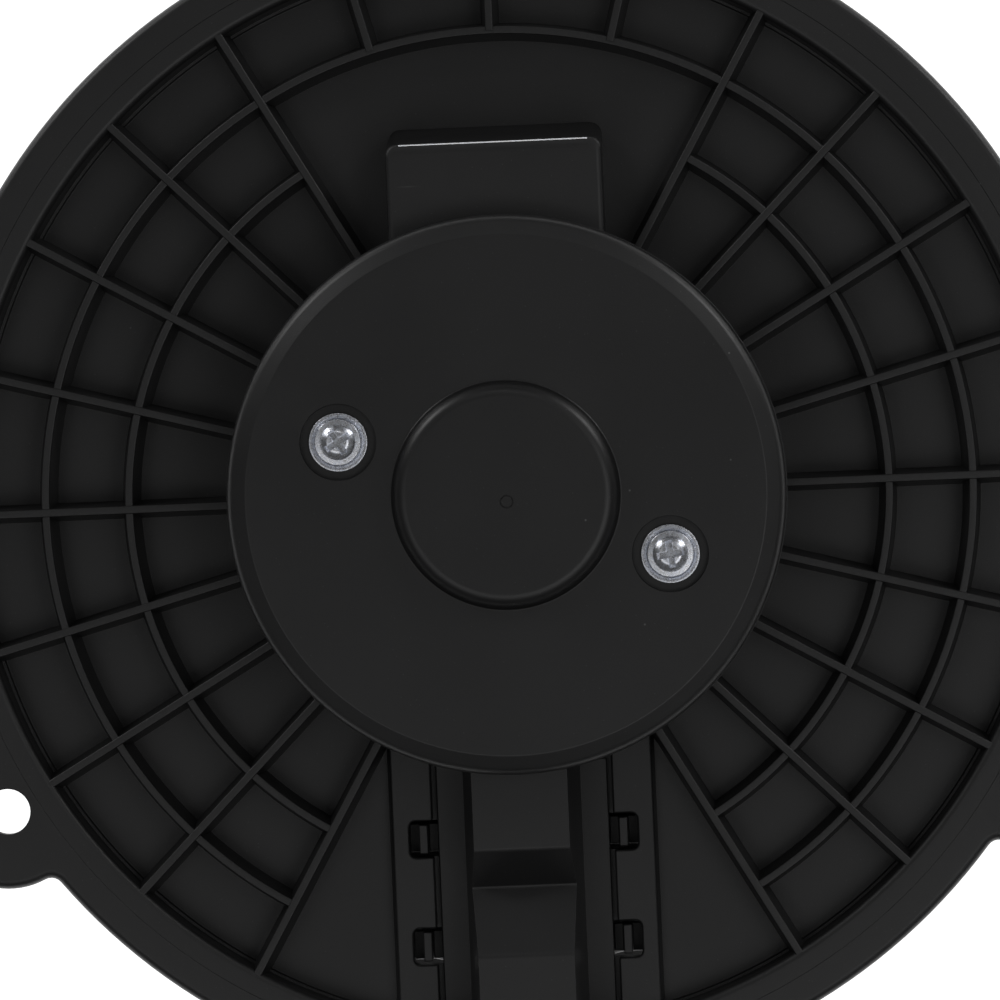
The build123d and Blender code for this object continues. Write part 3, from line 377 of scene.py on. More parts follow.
def plate(mesh, outline, holes, low_z, thickness):
    """Raise an outline with holes into a flat plate; gives back its top face's outer edges."""
    loops = []
    for points in [outline] + holes:
        verts = [mesh.verts.new((p[0], p[1], low_z + thickness)) for p in points]
        loops.append([mesh.edges.new(pair) for pair in zip(verts, verts[1:] + verts[:1])])
    edges = [edge for loop in loops for edge in loop]
    filled = bmesh.ops.triangle_fill(mesh, edges=edges, use_beauty=True, use_dissolve=False)["geom"]
    faces = [f for f in filled if isinstance(f, bmesh.types.BMFace)]
    grown = bmesh.ops.extrude_face_region(mesh, geom=faces, use_keep_orig=True)["geom"]
    moved = [v for v in grown if isinstance(v, bmesh.types.BMVert)]
    bmesh.ops.translate(mesh, verts=moved, vec=(0, 0, -thickness))
    return loops[0]


def soften(mesh, edges, radius, segments=4):
    """Round the given edges."""
    bmesh.ops.bevel(mesh, geom=edges, offset=radius, offset_type="OFFSET", segments=segments,
                    profile=0.5, affect="EDGES", material=-1, clamp_overlap=True)


def upright(x=0.0, y=0.0, z=0.0, turn=0.0):
    """A level plane at a point, turned about Z by an angle in degrees."""
    return Matrix.Translation((x, y, z)) @ Matrix.Rotation(math.radians(turn), 4, "Z")


def standing(turn, distance=0.0):
    """A plane that stands across the radius at an angle: X runs round the part, Y up, Z outwards."""
    along = polar(1, turn)
    across = Vector((0, 0, 1)).cross(along)
    place = Matrix((across, Vector((0, 0, 1)), along)).transposed().to_4x4()
    place.translation = along * distance
    return place


def side_view(x=0.0):
    """A plane that stands along the channel: X is the part's Y, Y is up and Z is the part's X."""
    place = Matrix(((0, 1, 0), (0, 0, 1), (1, 0, 0))).transposed().to_4x4()
    place.translation = (x, 0, 0)
    return place


def closed_up(mesh):
    """Merge doubles and turn every shell's faces outwards."""
    bmesh.ops.remove_doubles(mesh, verts=mesh.verts[:], dist=2e-6)
    bmesh.ops.recalc_face_normals(mesh, faces=mesh.faces[:])


def carved(mesh, cutter):
    """Cut the cutter's solids out of a mesh."""
    closed_up(mesh)
    closed_up(cutter)
    solids = []
    for label, source in (("blank", mesh), ("cutter", cutter)):
        data = bpy.data.meshes.new(label)
        source.to_mesh(data)
        solids.append(bpy.data.objects.new(label, data))
        bpy.context.scene.collection.objects.link(solids[-1])
    cut = solids[0].modifiers.new("cut", "BOOLEAN")
    cut.operation = "DIFFERENCE"
    cut.solver = "EXACT"
    cut.object = solids[1]
    view = bpy.context.evaluated_depsgraph_get()
    result = bpy.data.meshes.new_from_object(solids[0].evaluated_get(view))
    mesh.clear()
    mesh.from_mesh(result)
    cutter.free()
    bpy.data.meshes.remove(result)
    for solid in solids:
        data = solid.data
        bpy.data.objects.remove(solid)
        bpy.data.meshes.remove(data)


def piece(name, mesh, body, slot, replaced, edge=0.0, finish=None):
    """Turn a mesh into a finished piece that rides on a body and stands in for a CAD node.

    Its material is its slot's own unless another finish is named; edge is a last small rounding.
    """
    closed_up(mesh)
    data = bpy.data.meshes.new(name)
    mesh.to_mesh(data)
    mesh.free()
    data.polygons.foreach_set("use_smooth", [True] * len(data.polygons))
    data.set_sharp_from_angle(angle=SHARP)
    data.materials.append(finish_of(finish or slot))
    made = bpy.data.objects.new(name, data)
    bpy.context.scene.collection.objects.link(made)
    if edge:
        rounding = made.modifiers.new("edges", "BEVEL")
        rounding.width = edge
        rounding.segments = 2
        rounding.limit_method = "ANGLE"
        rounding.angle_limit = SHARP
        rounding.use_clamp_overlap = True
        rounding.harden_normals = False
    even = made.modifiers.new("normals", "WEIGHTED_NORMAL")
    even.weight = 80
    even.keep_sharp = True
    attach(made, body)
    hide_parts(replaced)


# ---------------------------------------------------------------- nodes and shared effects
def add(tree, kind, settings=None, **inputs):
    """Add a node; its inputs are values, or the sockets that feed them."""
    made = tree.nodes.new(kind)
    for name, value in (settings or {}).items():
        setattr(made, name, value)
    for name, value in inputs.items():
        socket = made.inputs[name.replace("_", " ")]
        if isinstance(value, bpy.types.NodeSocket):
            tree.links.new(value, socket)
        else:
            socket.default_value = value
    return made


def maths(tree, operation, first, second=0.0):
    """One step of arithmetic on two values or sockets."""
    made = tree.nodes.new("ShaderNodeMath")
    made.operation = operation
    for socket, value in zip(made.inputs, (first, second)):
        if isinstance(value, bpy.types.NodeSocket):
            tree.links.new(value, socket)
        else:
            socket.default_value = value
    return made.outputs[0]


def between(tree, value, low, high, new_low=0.0, new_high=1.0):
    """Map a range of values to another."""
    made = add(tree, "ShaderNodeMapRange", Value=value, From_Min=low, From_Max=high,
               To_Min=new_low, To_Max=new_high)
    return made.outputs[0]


def mixed(tree, factor, first, second):
    """Mix two colours."""
    made = tree.nodes.new("ShaderNodeMix")
    made.data_type = "RGBA"
    for index, value in ((0, factor), (6, first), (7, second)):
        if isinstance(value, bpy.types.NodeSocket):
            tree.links.new(value, made.inputs[index])
        else:
            made.inputs[index].default_value = value
    return made.outputs[2]


def effect(name, inputs, outputs, build):
    """A shader node group, built once."""
    found = bpy.data.node_groups.get(name)
    if found:
        return found
    tree = bpy.data.node_groups.new(name, "ShaderNodeTree")
    for label, value in inputs.items():
        tree.interface.new_socket(label, in_out="INPUT", socket_type="NodeSocketFloat").default_value = value
    for label in outputs:
        tree.interface.new_socket(label, in_out="OUTPUT", socket_type="NodeSocketFloat")
    given = tree.nodes.new("NodeGroupInput")
    result = tree.nodes.new("NodeGroupOutput")
    for label, socket in build(tree, given.outputs).items():
        tree.links.new(socket, result.inputs[label])
    return tree


def moulded_grain():
    """Fine spark-eroded grain, a mask of a few specks that carry painted glints, and a slow cloudiness."""
    def build(tree, given):
        place = tree.nodes.new("ShaderNodeTexCoord").outputs["Object"]
        fine = add(tree, "ShaderNodeTexNoise", Vector=place, Scale=given["Scale"], Detail=3.0, Roughness=0.6)
        cell_scale = maths(tree, "MULTIPLY", given["Scale"], 0.5)
        cells = add(tree, "ShaderNodeTexVoronoi", Vector=place, Scale=cell_scale)
        cell_shade = add(tree, "ShaderNodeSeparateColor", Color=cells.outputs["Color"])
        chosen = maths(tree, "GREATER_THAN", cell_shade.outputs[0], given["Rarity"])
        close = between(tree, cells.outputs["Distance"], 0.1, 0.3, 1.0, 0.0)
        cloud = add(tree, "ShaderNodeTexNoise", Vector=place, Scale=38.0, Detail=4.0, Roughness=0.6)
        return {"Height": fine.outputs[0], "Painted glint": maths(tree, "MULTIPLY", chosen, close),
                "Cloud": cloud.outputs[0]}
    return effect("Moulded grain", {"Scale": 4200.0, "Rarity": 0.975}, ("Height", "Painted glint", "Cloud"), build)


def dust_and_scuffs():
    """Loose dust motes and short hairline scuffs."""
    def build(tree, given):
        place = tree.nodes.new("ShaderNodeTexCoord").outputs["Object"]
        motes = add(tree, "ShaderNodeTexVoronoi", Vector=place, Scale=240.0)
        mote_shade = add(tree, "ShaderNodeSeparateColor", Color=motes.outputs["Color"])
        chosen = maths(tree, "GREATER_THAN", mote_shade.outputs[1], 0.93)
        close = between(tree, motes.outputs["Distance"], 0.02, 0.05, 1.0, 0.0)
        turned = add(tree, "ShaderNodeMapping", Vector=place, Rotation=(0.3, 0.2, 0.7),
                     Scale=(30.0, 900.0, 60.0))
        hairs = add(tree, "ShaderNodeTexNoise", Vector=turned.outputs[0], Scale=1.0, Detail=2.0)
        thin = between(tree, hairs.outputs[0], 0.74, 0.80)
        patch = add(tree, "ShaderNodeTexNoise", Vector=place, Scale=55.0, Detail=2.0)
        here = between(tree, patch.outputs[0], 0.58, 0.68)
        scuffs = maths(tree, "MULTIPLY", thin, here)
        both = maths(tree, "MAXIMUM", maths(tree, "MULTIPLY", chosen, close), scuffs)
        return {"Mask": maths(tree, "MULTIPLY", both, given["Amount"])}
    return effect("Dust and scuffs", {"Amount": 0.5}, ("Mask",), build)


def edge_wear():
    """Rubbed edges, stronger where handling catches them."""
    def build(tree, given):
        place = tree.nodes.new("ShaderNodeTexCoord").outputs["Object"]
        rounded_off = add(tree, "ShaderNodeBevel", {"samples": 4}, Radius=0.00035)
        flat = tree.nodes.new("ShaderNodeNewGeometry")
        facing = tree.nodes.new("ShaderNodeVectorMath")
        facing.operation = "DOT_PRODUCT"
        tree.links.new(rounded_off.outputs[0], facing.inputs[0])
        tree.links.new(flat.outputs["Normal"], facing.inputs[1])
        edge = between(tree, facing.outputs["Value"], 0.985, 0.88)
        uneven = add(tree, "ShaderNodeTexNoise", Vector=place, Scale=320.0, Detail=3.0)
        rubbed = maths(tree, "MULTIPLY", edge, between(tree, uneven.outputs[0], 0.35, 0.65))
        return {"Mask": maths(tree, "MULTIPLY", rubbed, given["Amount"])}
    return effect("Edge wear", {"Amount": 0.4}, ("Mask",), build)


def metal_grain():
    """Blotches, pits and fine drawn lines of plated or rolled metal."""
    def build(tree, given):
        place = tree.nodes.new("ShaderNodeTexCoord").outputs["Object"]
        blotches = add(tree, "ShaderNodeTexNoise", Vector=place, Scale=given["Scale"], Detail=5.0,
                       Roughness=0.65)
        drawn = add(tree, "ShaderNodeMapping", Vector=place, Scale=(9000.0, 9000.0, 300.0))
        lines = add(tree, "ShaderNodeTexNoise", Vector=drawn.outputs[0], Scale=1.0, Detail=2.0)
        pit_scale = maths(tree, "MULTIPLY", given["Scale"], 3.0)
        pits = add(tree, "ShaderNodeTexVoronoi", Vector=place, Scale=pit_scale)
        pit = between(tree, pits.outputs["Distance"], 0.05, 0.2, 1.0, 0.0)
        return {"Blotch": blotches.outputs[0], "Lines": lines.outputs[0], "Pit": pit}
    return effect("Metal grain", {"Scale": 900.0}, ("Blotch", "Lines", "Pit"), build)


def placed(tree, group, **inputs):
    """Put a shared effect into a material with its own values."""
    return add(tree, "ShaderNodeGroup", {"node_tree": group}, **inputs)


def rgba(value, gain=1.0):
    """A colour with its alpha, made lighter or darker."""
    return tuple(min(1.0, part * gain) for part in value) + (1.0,)


def new_material(name):
    """An empty material with its shader; gives back the material, its tree and the shader."""
    material = bpy.data.materials.new(name)
    material.use_nodes = True
    tree = material.node_tree
    return material, tree, tree.nodes["Principled BSDF"]


def moulded(name, base, roughness, scale=4200.0, depth=0.35, rarity=0.975, dust=0.5, level=0.5):
    """Moulded plastic: grain, painted glints on a few specks, cloudiness, dust and rubbed edges."""
    material, tree, shader = new_material(name)
    dust_colour = bpy.context.scene.blower_finishes.dust
    grain = placed(tree, moulded_grain(), Scale=scale, Rarity=rarity)
    loose = placed(tree, dust_and_scuffs(), Amount=dust)
    wear = placed(tree, edge_wear(), Amount=0.35)
    # how much darker or lighter than the base colour each effect is; the glint gain is a painted highlight
    cloud_dark, cloud_light, peak, painted_glint_gain, worn = 0.94, 1.06, 1.12, 6.0, 1.5
    clouds = between(tree, grain.outputs["Cloud"], 0.3, 0.7)
    body = mixed(tree, clouds, rgba(base, cloud_dark), rgba(base, cloud_light))
    body = mixed(tree, between(tree, grain.outputs["Height"], 0.3, 0.7), body, rgba(base, peak))
    # painted highlight: a few grain specks made six times lighter than the base, standing in for glints
    painted_glints = mixed(tree, maths(tree, "MULTIPLY", grain.outputs["Painted glint"], 0.5), body, rgba(base, painted_glint_gain))
    rubbed = mixed(tree, wear.outputs["Mask"], painted_glints, rgba(base, worn))
    dusty = mixed(tree, loose.outputs["Mask"], rubbed, rgba(dust_colour))
    tree.links.new(dusty, shader.inputs["Base Color"])
    spread, polish_drop = 0.03, 0.12
    uneven = between(tree, grain.outputs["Cloud"], 0.3, 0.7, roughness - spread, roughness + spread)
    polish = maths(tree, "MULTIPLY", wear.outputs["Mask"], polish_drop)
    tree.links.new(maths(tree, "SUBTRACT", uneven, polish), shader.inputs["Roughness"])
    bump = add(tree, "ShaderNodeBump", Height=grain.outputs["Height"], Strength=depth, Distance=0.00004)
    tree.links.new(bump.outputs[0], shader.inputs["Normal"])
    shader.inputs["Specular IOR Level"].default_value = level
    return material


def metal(name, base, roughness, scale=900.0, depth=0.15, tint=(0.45, 0.5, 0.62), lines=0.3, full=1.0):
    """Plated, drawn or rolled metal: blotches, drawn lines, pits and dull patches."""
    material, tree, shader = new_material(name)
    grain = placed(tree, metal_grain(), Scale=scale)
    patchy = between(tree, grain.outputs["Blotch"], 0.35, 0.65)
    body = mixed(tree, patchy, rgba(base), rgba([b * (0.55 + 0.45 * t) for b, t in zip(base, tint)], 1.25))
    pitted = mixed(tree, maths(tree, "MULTIPLY", grain.outputs["Pit"], 0.35), body, rgba(base, 0.45))
    tree.links.new(pitted, shader.inputs["Base Color"])
    dull = between(tree, grain.outputs["Blotch"], 0.3, 0.7, roughness * 0.75, roughness * 1.3)
    tree.links.new(dull, shader.inputs["Roughness"])
    drawn = maths(tree, "MULTIPLY", grain.outputs["Lines"], lines)
    rough = maths(tree, "ADD", drawn, grain.outputs["Blotch"])
    bump = add(tree, "ShaderNodeBump", Height=rough, Strength=depth, Distance=0.00005)
    tree.links.new(bump.outputs[0], shader.inputs["Normal"])
    shader.inputs["Metallic"].default_value = full
    return material


def wound(name, base, pitch, roughness=0.35):
    """Enamelled wire wound side by side, with painted shade in the grooves between the turns."""
    material, tree, shader = new_material(name)
    place = tree.nodes.new("ShaderNodeTexCoord").outputs["Object"]
    turns = add(tree, "ShaderNodeTexWave", {"bands_direction": "Z"}, Vector=place, Scale=0.314 / pitch,
                Distortion=0.6, Detail=1.0, Detail_Scale=300.0)
    cloud = add(tree, "ShaderNodeTexNoise", Vector=place, Scale=400.0, Detail=3.0)
    # painted shade: the colour darkens to a quarter between turns, for the shade in the grooves between
    # round wires and the dark joints between lamination sheets
    shaded_between_turns = mixed(tree, turns.outputs["Fac"], rgba(base, 0.25), rgba(base))
    stained = between(tree, cloud.outputs[0], 0.4, 0.7, 0.0, 0.4)
    tree.links.new(mixed(tree, stained, shaded_between_turns, rgba(base, 0.6)), shader.inputs["Base Color"])
    bump = add(tree, "ShaderNodeBump", Height=turns.outputs["Fac"], Strength=0.8, Distance=0.00012)
    tree.links.new(bump.outputs[0], shader.inputs["Normal"])
    shader.inputs["Metallic"].default_value = 0.85
    shader.inputs["Roughness"].default_value = roughness
    return material


def build_finishes():
    """Every material of the blower, by the record's slot names."""
    use = bpy.context.scene.blower_finishes
    return {
        "flange_plastic": moulded("flange_plastic", use.flange, 0.42, dust=0.3),
        "cover_plastic": moulded("cover_plastic", use.cover, 0.38, dust=0.5),
        "wire_cover_plastic": moulded("wire_cover_plastic", use.flange, 0.44),
        "connector_plastic": moulded("connector_plastic", use.connector, 0.34, depth=0.15, rarity=0.995),
        "wheel_plastic": moulded("wheel_plastic", use.wheel, 0.32, scale=2600.0, depth=0.2, rarity=0.99),
        "screw_zinc": metal("screw_zinc", use.zinc, 0.27, scale=1500.0, depth=0.35, lines=0.5),
        "terminal_tin": metal("terminal_tin", use.tin, 0.34),
        "wire_insulation": moulded("wire_insulation", (0.02, 0.02, 0.02), 0.4, depth=0.1, rarity=0.999),
        "can_steel": metal("can_steel", use.steel, 0.36, scale=300.0, lines=1.0),
        "ferrite": metal("ferrite", (0.06, 0.06, 0.064), 0.62, scale=700.0, depth=0.4, full=0.3),
        "spring_steel": metal("spring_steel", (0.36, 0.36, 0.37), 0.26, scale=600.0, lines=0.8),
        "lamination_steel": wound("lamination_steel", (0.26, 0.26, 0.27), 0.0005, 0.45),
        "copper": wound("copper", use.copper, 0.0006),
        "bronze": metal("bronze", use.bronze, 0.5, scale=1800.0, depth=0.5, tint=(0.8, 0.7, 0.5)),
        "brass_sheet": metal("brass_sheet", use.brass, 0.3, scale=500.0, tint=(0.9, 0.85, 0.7)),
        "phenolic": moulded("phenolic", use.phenolic, 0.5, scale=1500.0, rarity=0.95),
        "carbon": metal("carbon", (0.05, 0.045, 0.04), 0.55, scale=1200.0, depth=0.5, full=0.4),
        "nylon": moulded("nylon", use.nylon, 0.42, depth=0.1, rarity=0.999, dust=0.1),
        # painted highlight: near-white polished metal, used only for the thin strip that stands in for the
        # duct's bright edge line
        "painted_highlight_strip": metal("painted_highlight_strip", (0.85, 0.85, 0.85), 0.16, depth=0.05),
        "isolator_rubber": moulded("isolator_rubber", (0.018, 0.018, 0.018), 0.7, scale=2000.0, dust=0.3),
    }


def finish_of(slot):
    """A material by its slot name."""
    return bpy.data.materials[slot + "_finish"]


# ---------------------------------------------------------------- operators
class BLOWER_OT_finishes(Operator):
    """Make the materials and give them to the inner parts that keep their frame shapes"""
    bl_idname = "blower.finishes"
    bl_label = "Finishes"

    def execute(self, context):
        for slot, material in build_finishes().items():
            material.name = slot + "_finish"
        for part in frame["record"]["subparts"]:
            node = frame["nodes"][part["node"]]
            for holder in node.material_slots:
                holder.material = finish_of(part["material_slot"])
        return {"FINISHED"}


class BLOWER_OT_flange_rim(Operator):
    """Make the rim plate with its three ears"""
    bl_idname = "blower.flange_rim"
    bl_label = "Rim and ears"

    def execute(self, context):
        use = context.scene.blower_flange
        count = HOLES["count"]
        blend_r = RIM_R + use.ear_blend
        swing = math.degrees(math.acos((blend_r ** 2 + RIM_R ** 2 - (use.ear_r + use.ear_blend) ** 2)
                                       / (2 * RIM_R * blend_r)))
        blend_steps, ear_steps, gap_steps = 5, 36, 60
        outline = []
        holes = [[polar(use.plate_in, turn) for turn in range(0, 360, 2)]]
        for ear in range(count):
            middle = 90 + 360 * ear / count
            hub = polar(RIM_R, middle)
            blends = [polar(blend_r, middle + side * swing) for side in (-1, 1)]
            # hollow rounding into the ear, the ear's end, and the rounding out again
            for blend, side in zip(blends, (-1, 1)):
                to_rim = (-blend).normalized()
                to_ear = (hub - blend).normalized()
                arc = [blend + to_rim.slerp(to_ear, i / blend_steps) * use.ear_blend
                       for i in range(blend_steps + 1)]
                if side < 0:
                    outline += arc
                    from_hub = arc[-1] - hub
                    facing = math.atan2(from_hub.y, from_hub.x)
                    out_turn = math.radians(middle)
                    reach = (out_turn - facing + math.pi) % math.tau - math.pi
                    outline += [hub + polar(use.ear_r, math.degrees(facing + 2 * reach * i / ear_steps))
                                for i in range(1, ear_steps)]
                else:
                    outline += arc[::-1]
            gap = 360 / count - 2 * swing
            outline += [polar(RIM_R, middle + swing + gap * i / gap_steps) for i in range(1, gap_steps)]
            holes.append([hub + polar(HOLES["hole_r_mm"] * MM, turn) for turn in range(0, 360, 10)])
        mesh = bmesh.new()
        top_edges = plate(mesh, outline, holes, 0.0, use.rim_thick)
        soften(mesh, top_edges, use.rim_round, 5)
        piece("flange_rim", mesh, "housing", "flange_plastic", "mounting_flange", edge=0.12 * MM)
        return {"FINISHED"}


class BLOWER_OT_flange_dish(Operator):
    """Make the dish with its wall, ledge, floor and spigot"""
    bl_idname = "blower.flange_dish"
    bl_label = "Dish and spigot"

    def execute(self, context):
        use = context.scene.blower_flange
        fine = 0.12 * MM
        low = use.floor_z - use.floor_t
        pocket_in = use.pocket_r - MM
        ledge_z = use.floor_z + use.ledge_h
        outline = rounded([
            (use.plate_in, use.rim_thick, 0), (use.rim_inner, use.rim_thick, use.rim_inner_round),
            (use.wall_foot, ledge_z, fine), (use.ledge_in, ledge_z, fine),
            (use.floor_edge, use.floor_z, fine), (pocket_in, use.floor_z, 0), (pocket_in, low, 0),
            (use.spigot_r, low, 6 * fine), (use.spigot_r, 0, 0), (use.plate_in, 0, 0)])
        mesh = bmesh.new()
        spun(mesh, outline)
        carved(mesh, latch_windows(context))
        carved(mesh, duct_air_way(context))
        piece("flange_dish", mesh, "housing", "flange_plastic", "mounting_flange")
        return {"FINISHED"}


def latch_windows(context):
    """Cutter for the four latch windows through strips and floor."""
    use = context.scene.blower_channel
    low = FLANGE_LOW.z / 3
    cutter = bmesh.new()
    for y in (use.near_window, use.far_window):
        for side in (-1, 1):
            xs = sorted((side * use.window_in, side * use.window_out))
            prism(cutter, box_outline(xs[0], y - use.window_len / 2, xs[1], y + use.window_len / 2,
                                      use.window_r), upright(z=low), -2 * low)
    return cutter


def duct_air_way(context):
    """Cutter for the hollow of the cooling duct, open below and into the pocket."""
    use = context.scene.blower_duct
    flange = context.scene.blower_flange
    low = flange.floor_z - flange.floor_t - MM
    end_foot = use.end_foot_y - use.wall
    end_top = use.end_top_y - use.wall
    cutter = bmesh.new()
    start = use.start_y - 5 * MM
    outline = [(start, low), (end_foot, low), (end_foot, flange.floor_z), (end_top, use.top_z - use.wall),
               (start, use.top_z - use.wall)]
    half = use.half_w - use.wall
    prism(cutter, outline, side_view(-half), 2 * half)
    return cutter


class BLOWER_OT_flange_ribs(Operator):
    """Make the drafted radial ribs and ring ribs of the dish"""
    bl_idname = "blower.flange_ribs"
    bl_label = "Ribs"

    def execute(self, context):
        use = context.scene.blower_flange
        foot_z = use.floor_z - 0.3 * MM
        half_top = use.rib_t / 2
        half_foot = half_top + use.rib_draft

        def section(middle, top_z):
            return rounded([(middle - half_foot, foot_z, 0), (middle + half_foot, foot_z, 0),
                            (middle + half_top, top_z, use.rib_round),
                            (middle - half_top, top_z, use.rib_round)], steps=3)

        step = 360 // use.rib_count
        mesh = bmesh.new()
        for turn in range(0, 360, step):
            if 240 < turn < 300:
                continue
            start = use.outer_ring if 60 < turn < 120 else use.pocket_r - MM
            prism(mesh, section(0, use.rib_top), standing(turn, start), use.rib_end - start)
        rings = ((use.outer_ring, 300, 300), (use.inner_ring, -60, 120), (use.inner_ring, 120, 120))
        for radius, start, span in rings:
            spun(mesh, section(radius, use.rib_top - use.ring_drop), start, span, span // 2)
        piece("flange_ribs", mesh, "housing", "flange_plastic", "mounting_flange")
        return {"FINISHED"}


class BLOWER_OT_flange_pocket(Operator):
    """Make the motor pocket's wall and its two screw lugs"""
    bl_idname = "blower.flange_pocket"
    bl_label = "Motor pocket"

    def execute(self, context):
        use = context.scene.blower_flange
        cover = context.scene.blower_cover
        low, base = FLANGE_LOW.z, COVER_LOW.z
        mesh = bmesh.new()
        spun(mesh, rounded([(use.pocket_bore, low, 0.4 * MM), (use.pocket_r, low, 0.8 * MM),
                            (use.pocket_r, base, 0.3 * MM), (use.pocket_bore, base, 0.3 * MM)], 3))
        opening = bmesh.new()
        margin = 4 * MM
        window = box_outline(-use.lead_half, use.lead_low, use.lead_half, use.lead_high, use.lead_round)
        prism(opening, window, standing(270, use.pocket_bore - margin), 2 * margin)
        carved(mesh, opening)
        carved(mesh, duct_air_way(context))
        piece("flange_pocket", mesh, "housing", "flange_plastic", "mounting_flange", edge=0.15 * MM)
        lugs = bmesh.new()
        turn = math.degrees(cover.screw_turn)
        root = use.pocket_bore - cover.screw_r + MM
        for side in (0, 180):
            outline = [polar(use.lug_r, around) for around in range(90, 271, 10)]
            outline += [Vector((root, -use.lug_r)), Vector((root, use.lug_r))]
            middle = polar(cover.screw_r, turn + side)
            hole = [polar(cover.hole_r, -around) for around in range(0, 360, 10)]
            lug = bmesh.new()
            plate(lug, outline, [hole], base - use.lug_t, use.lug_t)
            bmesh.ops.transform(lug, matrix=upright(middle.x, middle.y, 0, turn + side), verts=lug.verts[:])
            data = bpy.data.meshes.new("lug")
            lug.to_mesh(data)
            lug.free()
            lugs.from_mesh(data)
            bpy.data.meshes.remove(data)
        piece("flange_lugs", lugs, "housing", "flange_plastic", "mounting_flange", edge=0.2 * MM)
        return {"FINISHED"}


class BLOWER_OT_cooling_duct(Operator):
    """Make the cooling duct with its sloped crown"""
    bl_idname = "blower.cooling_duct"
    bl_label = "Cooling duct"

    def execute(self, context):
        use = context.scene.blower_duct
        flange = context.scene.blower_flange
        low = flange.floor_z - 0.5 * MM
        crown = use.crown
        mesh = bmesh.new()
        outline = rounded([(-use.half_w, use.start_y, 0), (use.half_w, use.start_y, 0),
                           (use.half_w, use.end_foot_y, use.corner_r),
                           (-use.half_w, use.end_foot_y, use.corner_r)], 6)
        prism(mesh, outline, upright(z=low), use.top_z - crown - low)
        top = max(mesh.faces, key=lambda f: f.calc_center_median().z)
        lean = (use.end_top_y - use.start_y) / (use.end_foot_y - use.start_y)
        bmesh.ops.scale(mesh, vec=(1, lean, 1), verts=top.verts[:],
                        space=Matrix.Translation((0, -use.start_y, 0)))
        bmesh.ops.inset_region(mesh, faces=[top], thickness=use.edge_r, depth=crown, use_even_offset=True)
        top = max(mesh.faces, key=lambda f: f.calc_center_median().z)
        far_reach = 4 * MM
        far_side = [v for v in top.verts if v.co.y > use.end_top_y - far_reach]
        bmesh.ops.translate(mesh, verts=far_side, vec=(0, use.edge_r - use.far_slope, 0))
        carved(mesh, duct_air_way(context))
        piece("flange_duct", mesh, "housing", "flange_plastic", "mounting_flange", edge=0.3 * MM)
        # painted highlight: a thin near-white polished metal strip along the far edge, lying on the slope,
        # stands in for the bright edge line
        along = Vector((use.far_slope, -crown)).normalized()
        out = Vector((crown, use.far_slope)).normalized()
        up_slope, sunk, proud = 0.2 * MM, 0.1 * MM, 0.03 * MM
        middle = Vector((use.end_top_y, use.top_z - crown)) - along * up_slope
        half = along * use.line_w / 2
        line = bmesh.new()
        section = [middle - half - out * sunk, middle + half - out * sunk,
                   middle + half + out * proud, middle - half + out * proud]
        prism(line, section, side_view(-use.line_half), 2 * use.line_half)
        piece("duct_highlight_line", line, "housing", "flange_plastic", "mounting_flange",
              finish="painted_highlight_strip")
        return {"FINISHED"}


class BLOWER_OT_channel_strips(Operator):
    """Make the raised strips beside the cable channel"""
    bl_idname = "blower.channel_strips"
    bl_label = "Channel strips"

    def execute(self, context):
        use = context.scene.blower_channel
        flange = context.scene.blower_flange
        low = flange.floor_z - 0.3 * MM
        mesh = bmesh.new()
        for side in (-1, 1):
            section = [(side * use.strip_in, low), (side * (use.strip_out + use.strip_draft), low),
                       (side * use.strip_out, use.strip_top), (side * use.strip_in, use.strip_top)]
            prism(mesh, section, standing(270, -use.strip_start), use.strip_start - use.strip_end)
        carved(mesh, latch_windows(context))
        piece("channel_strips", mesh, "housing", "flange_plastic", "mounting_flange", edge=0.3 * MM)
        return {"FINISHED"}


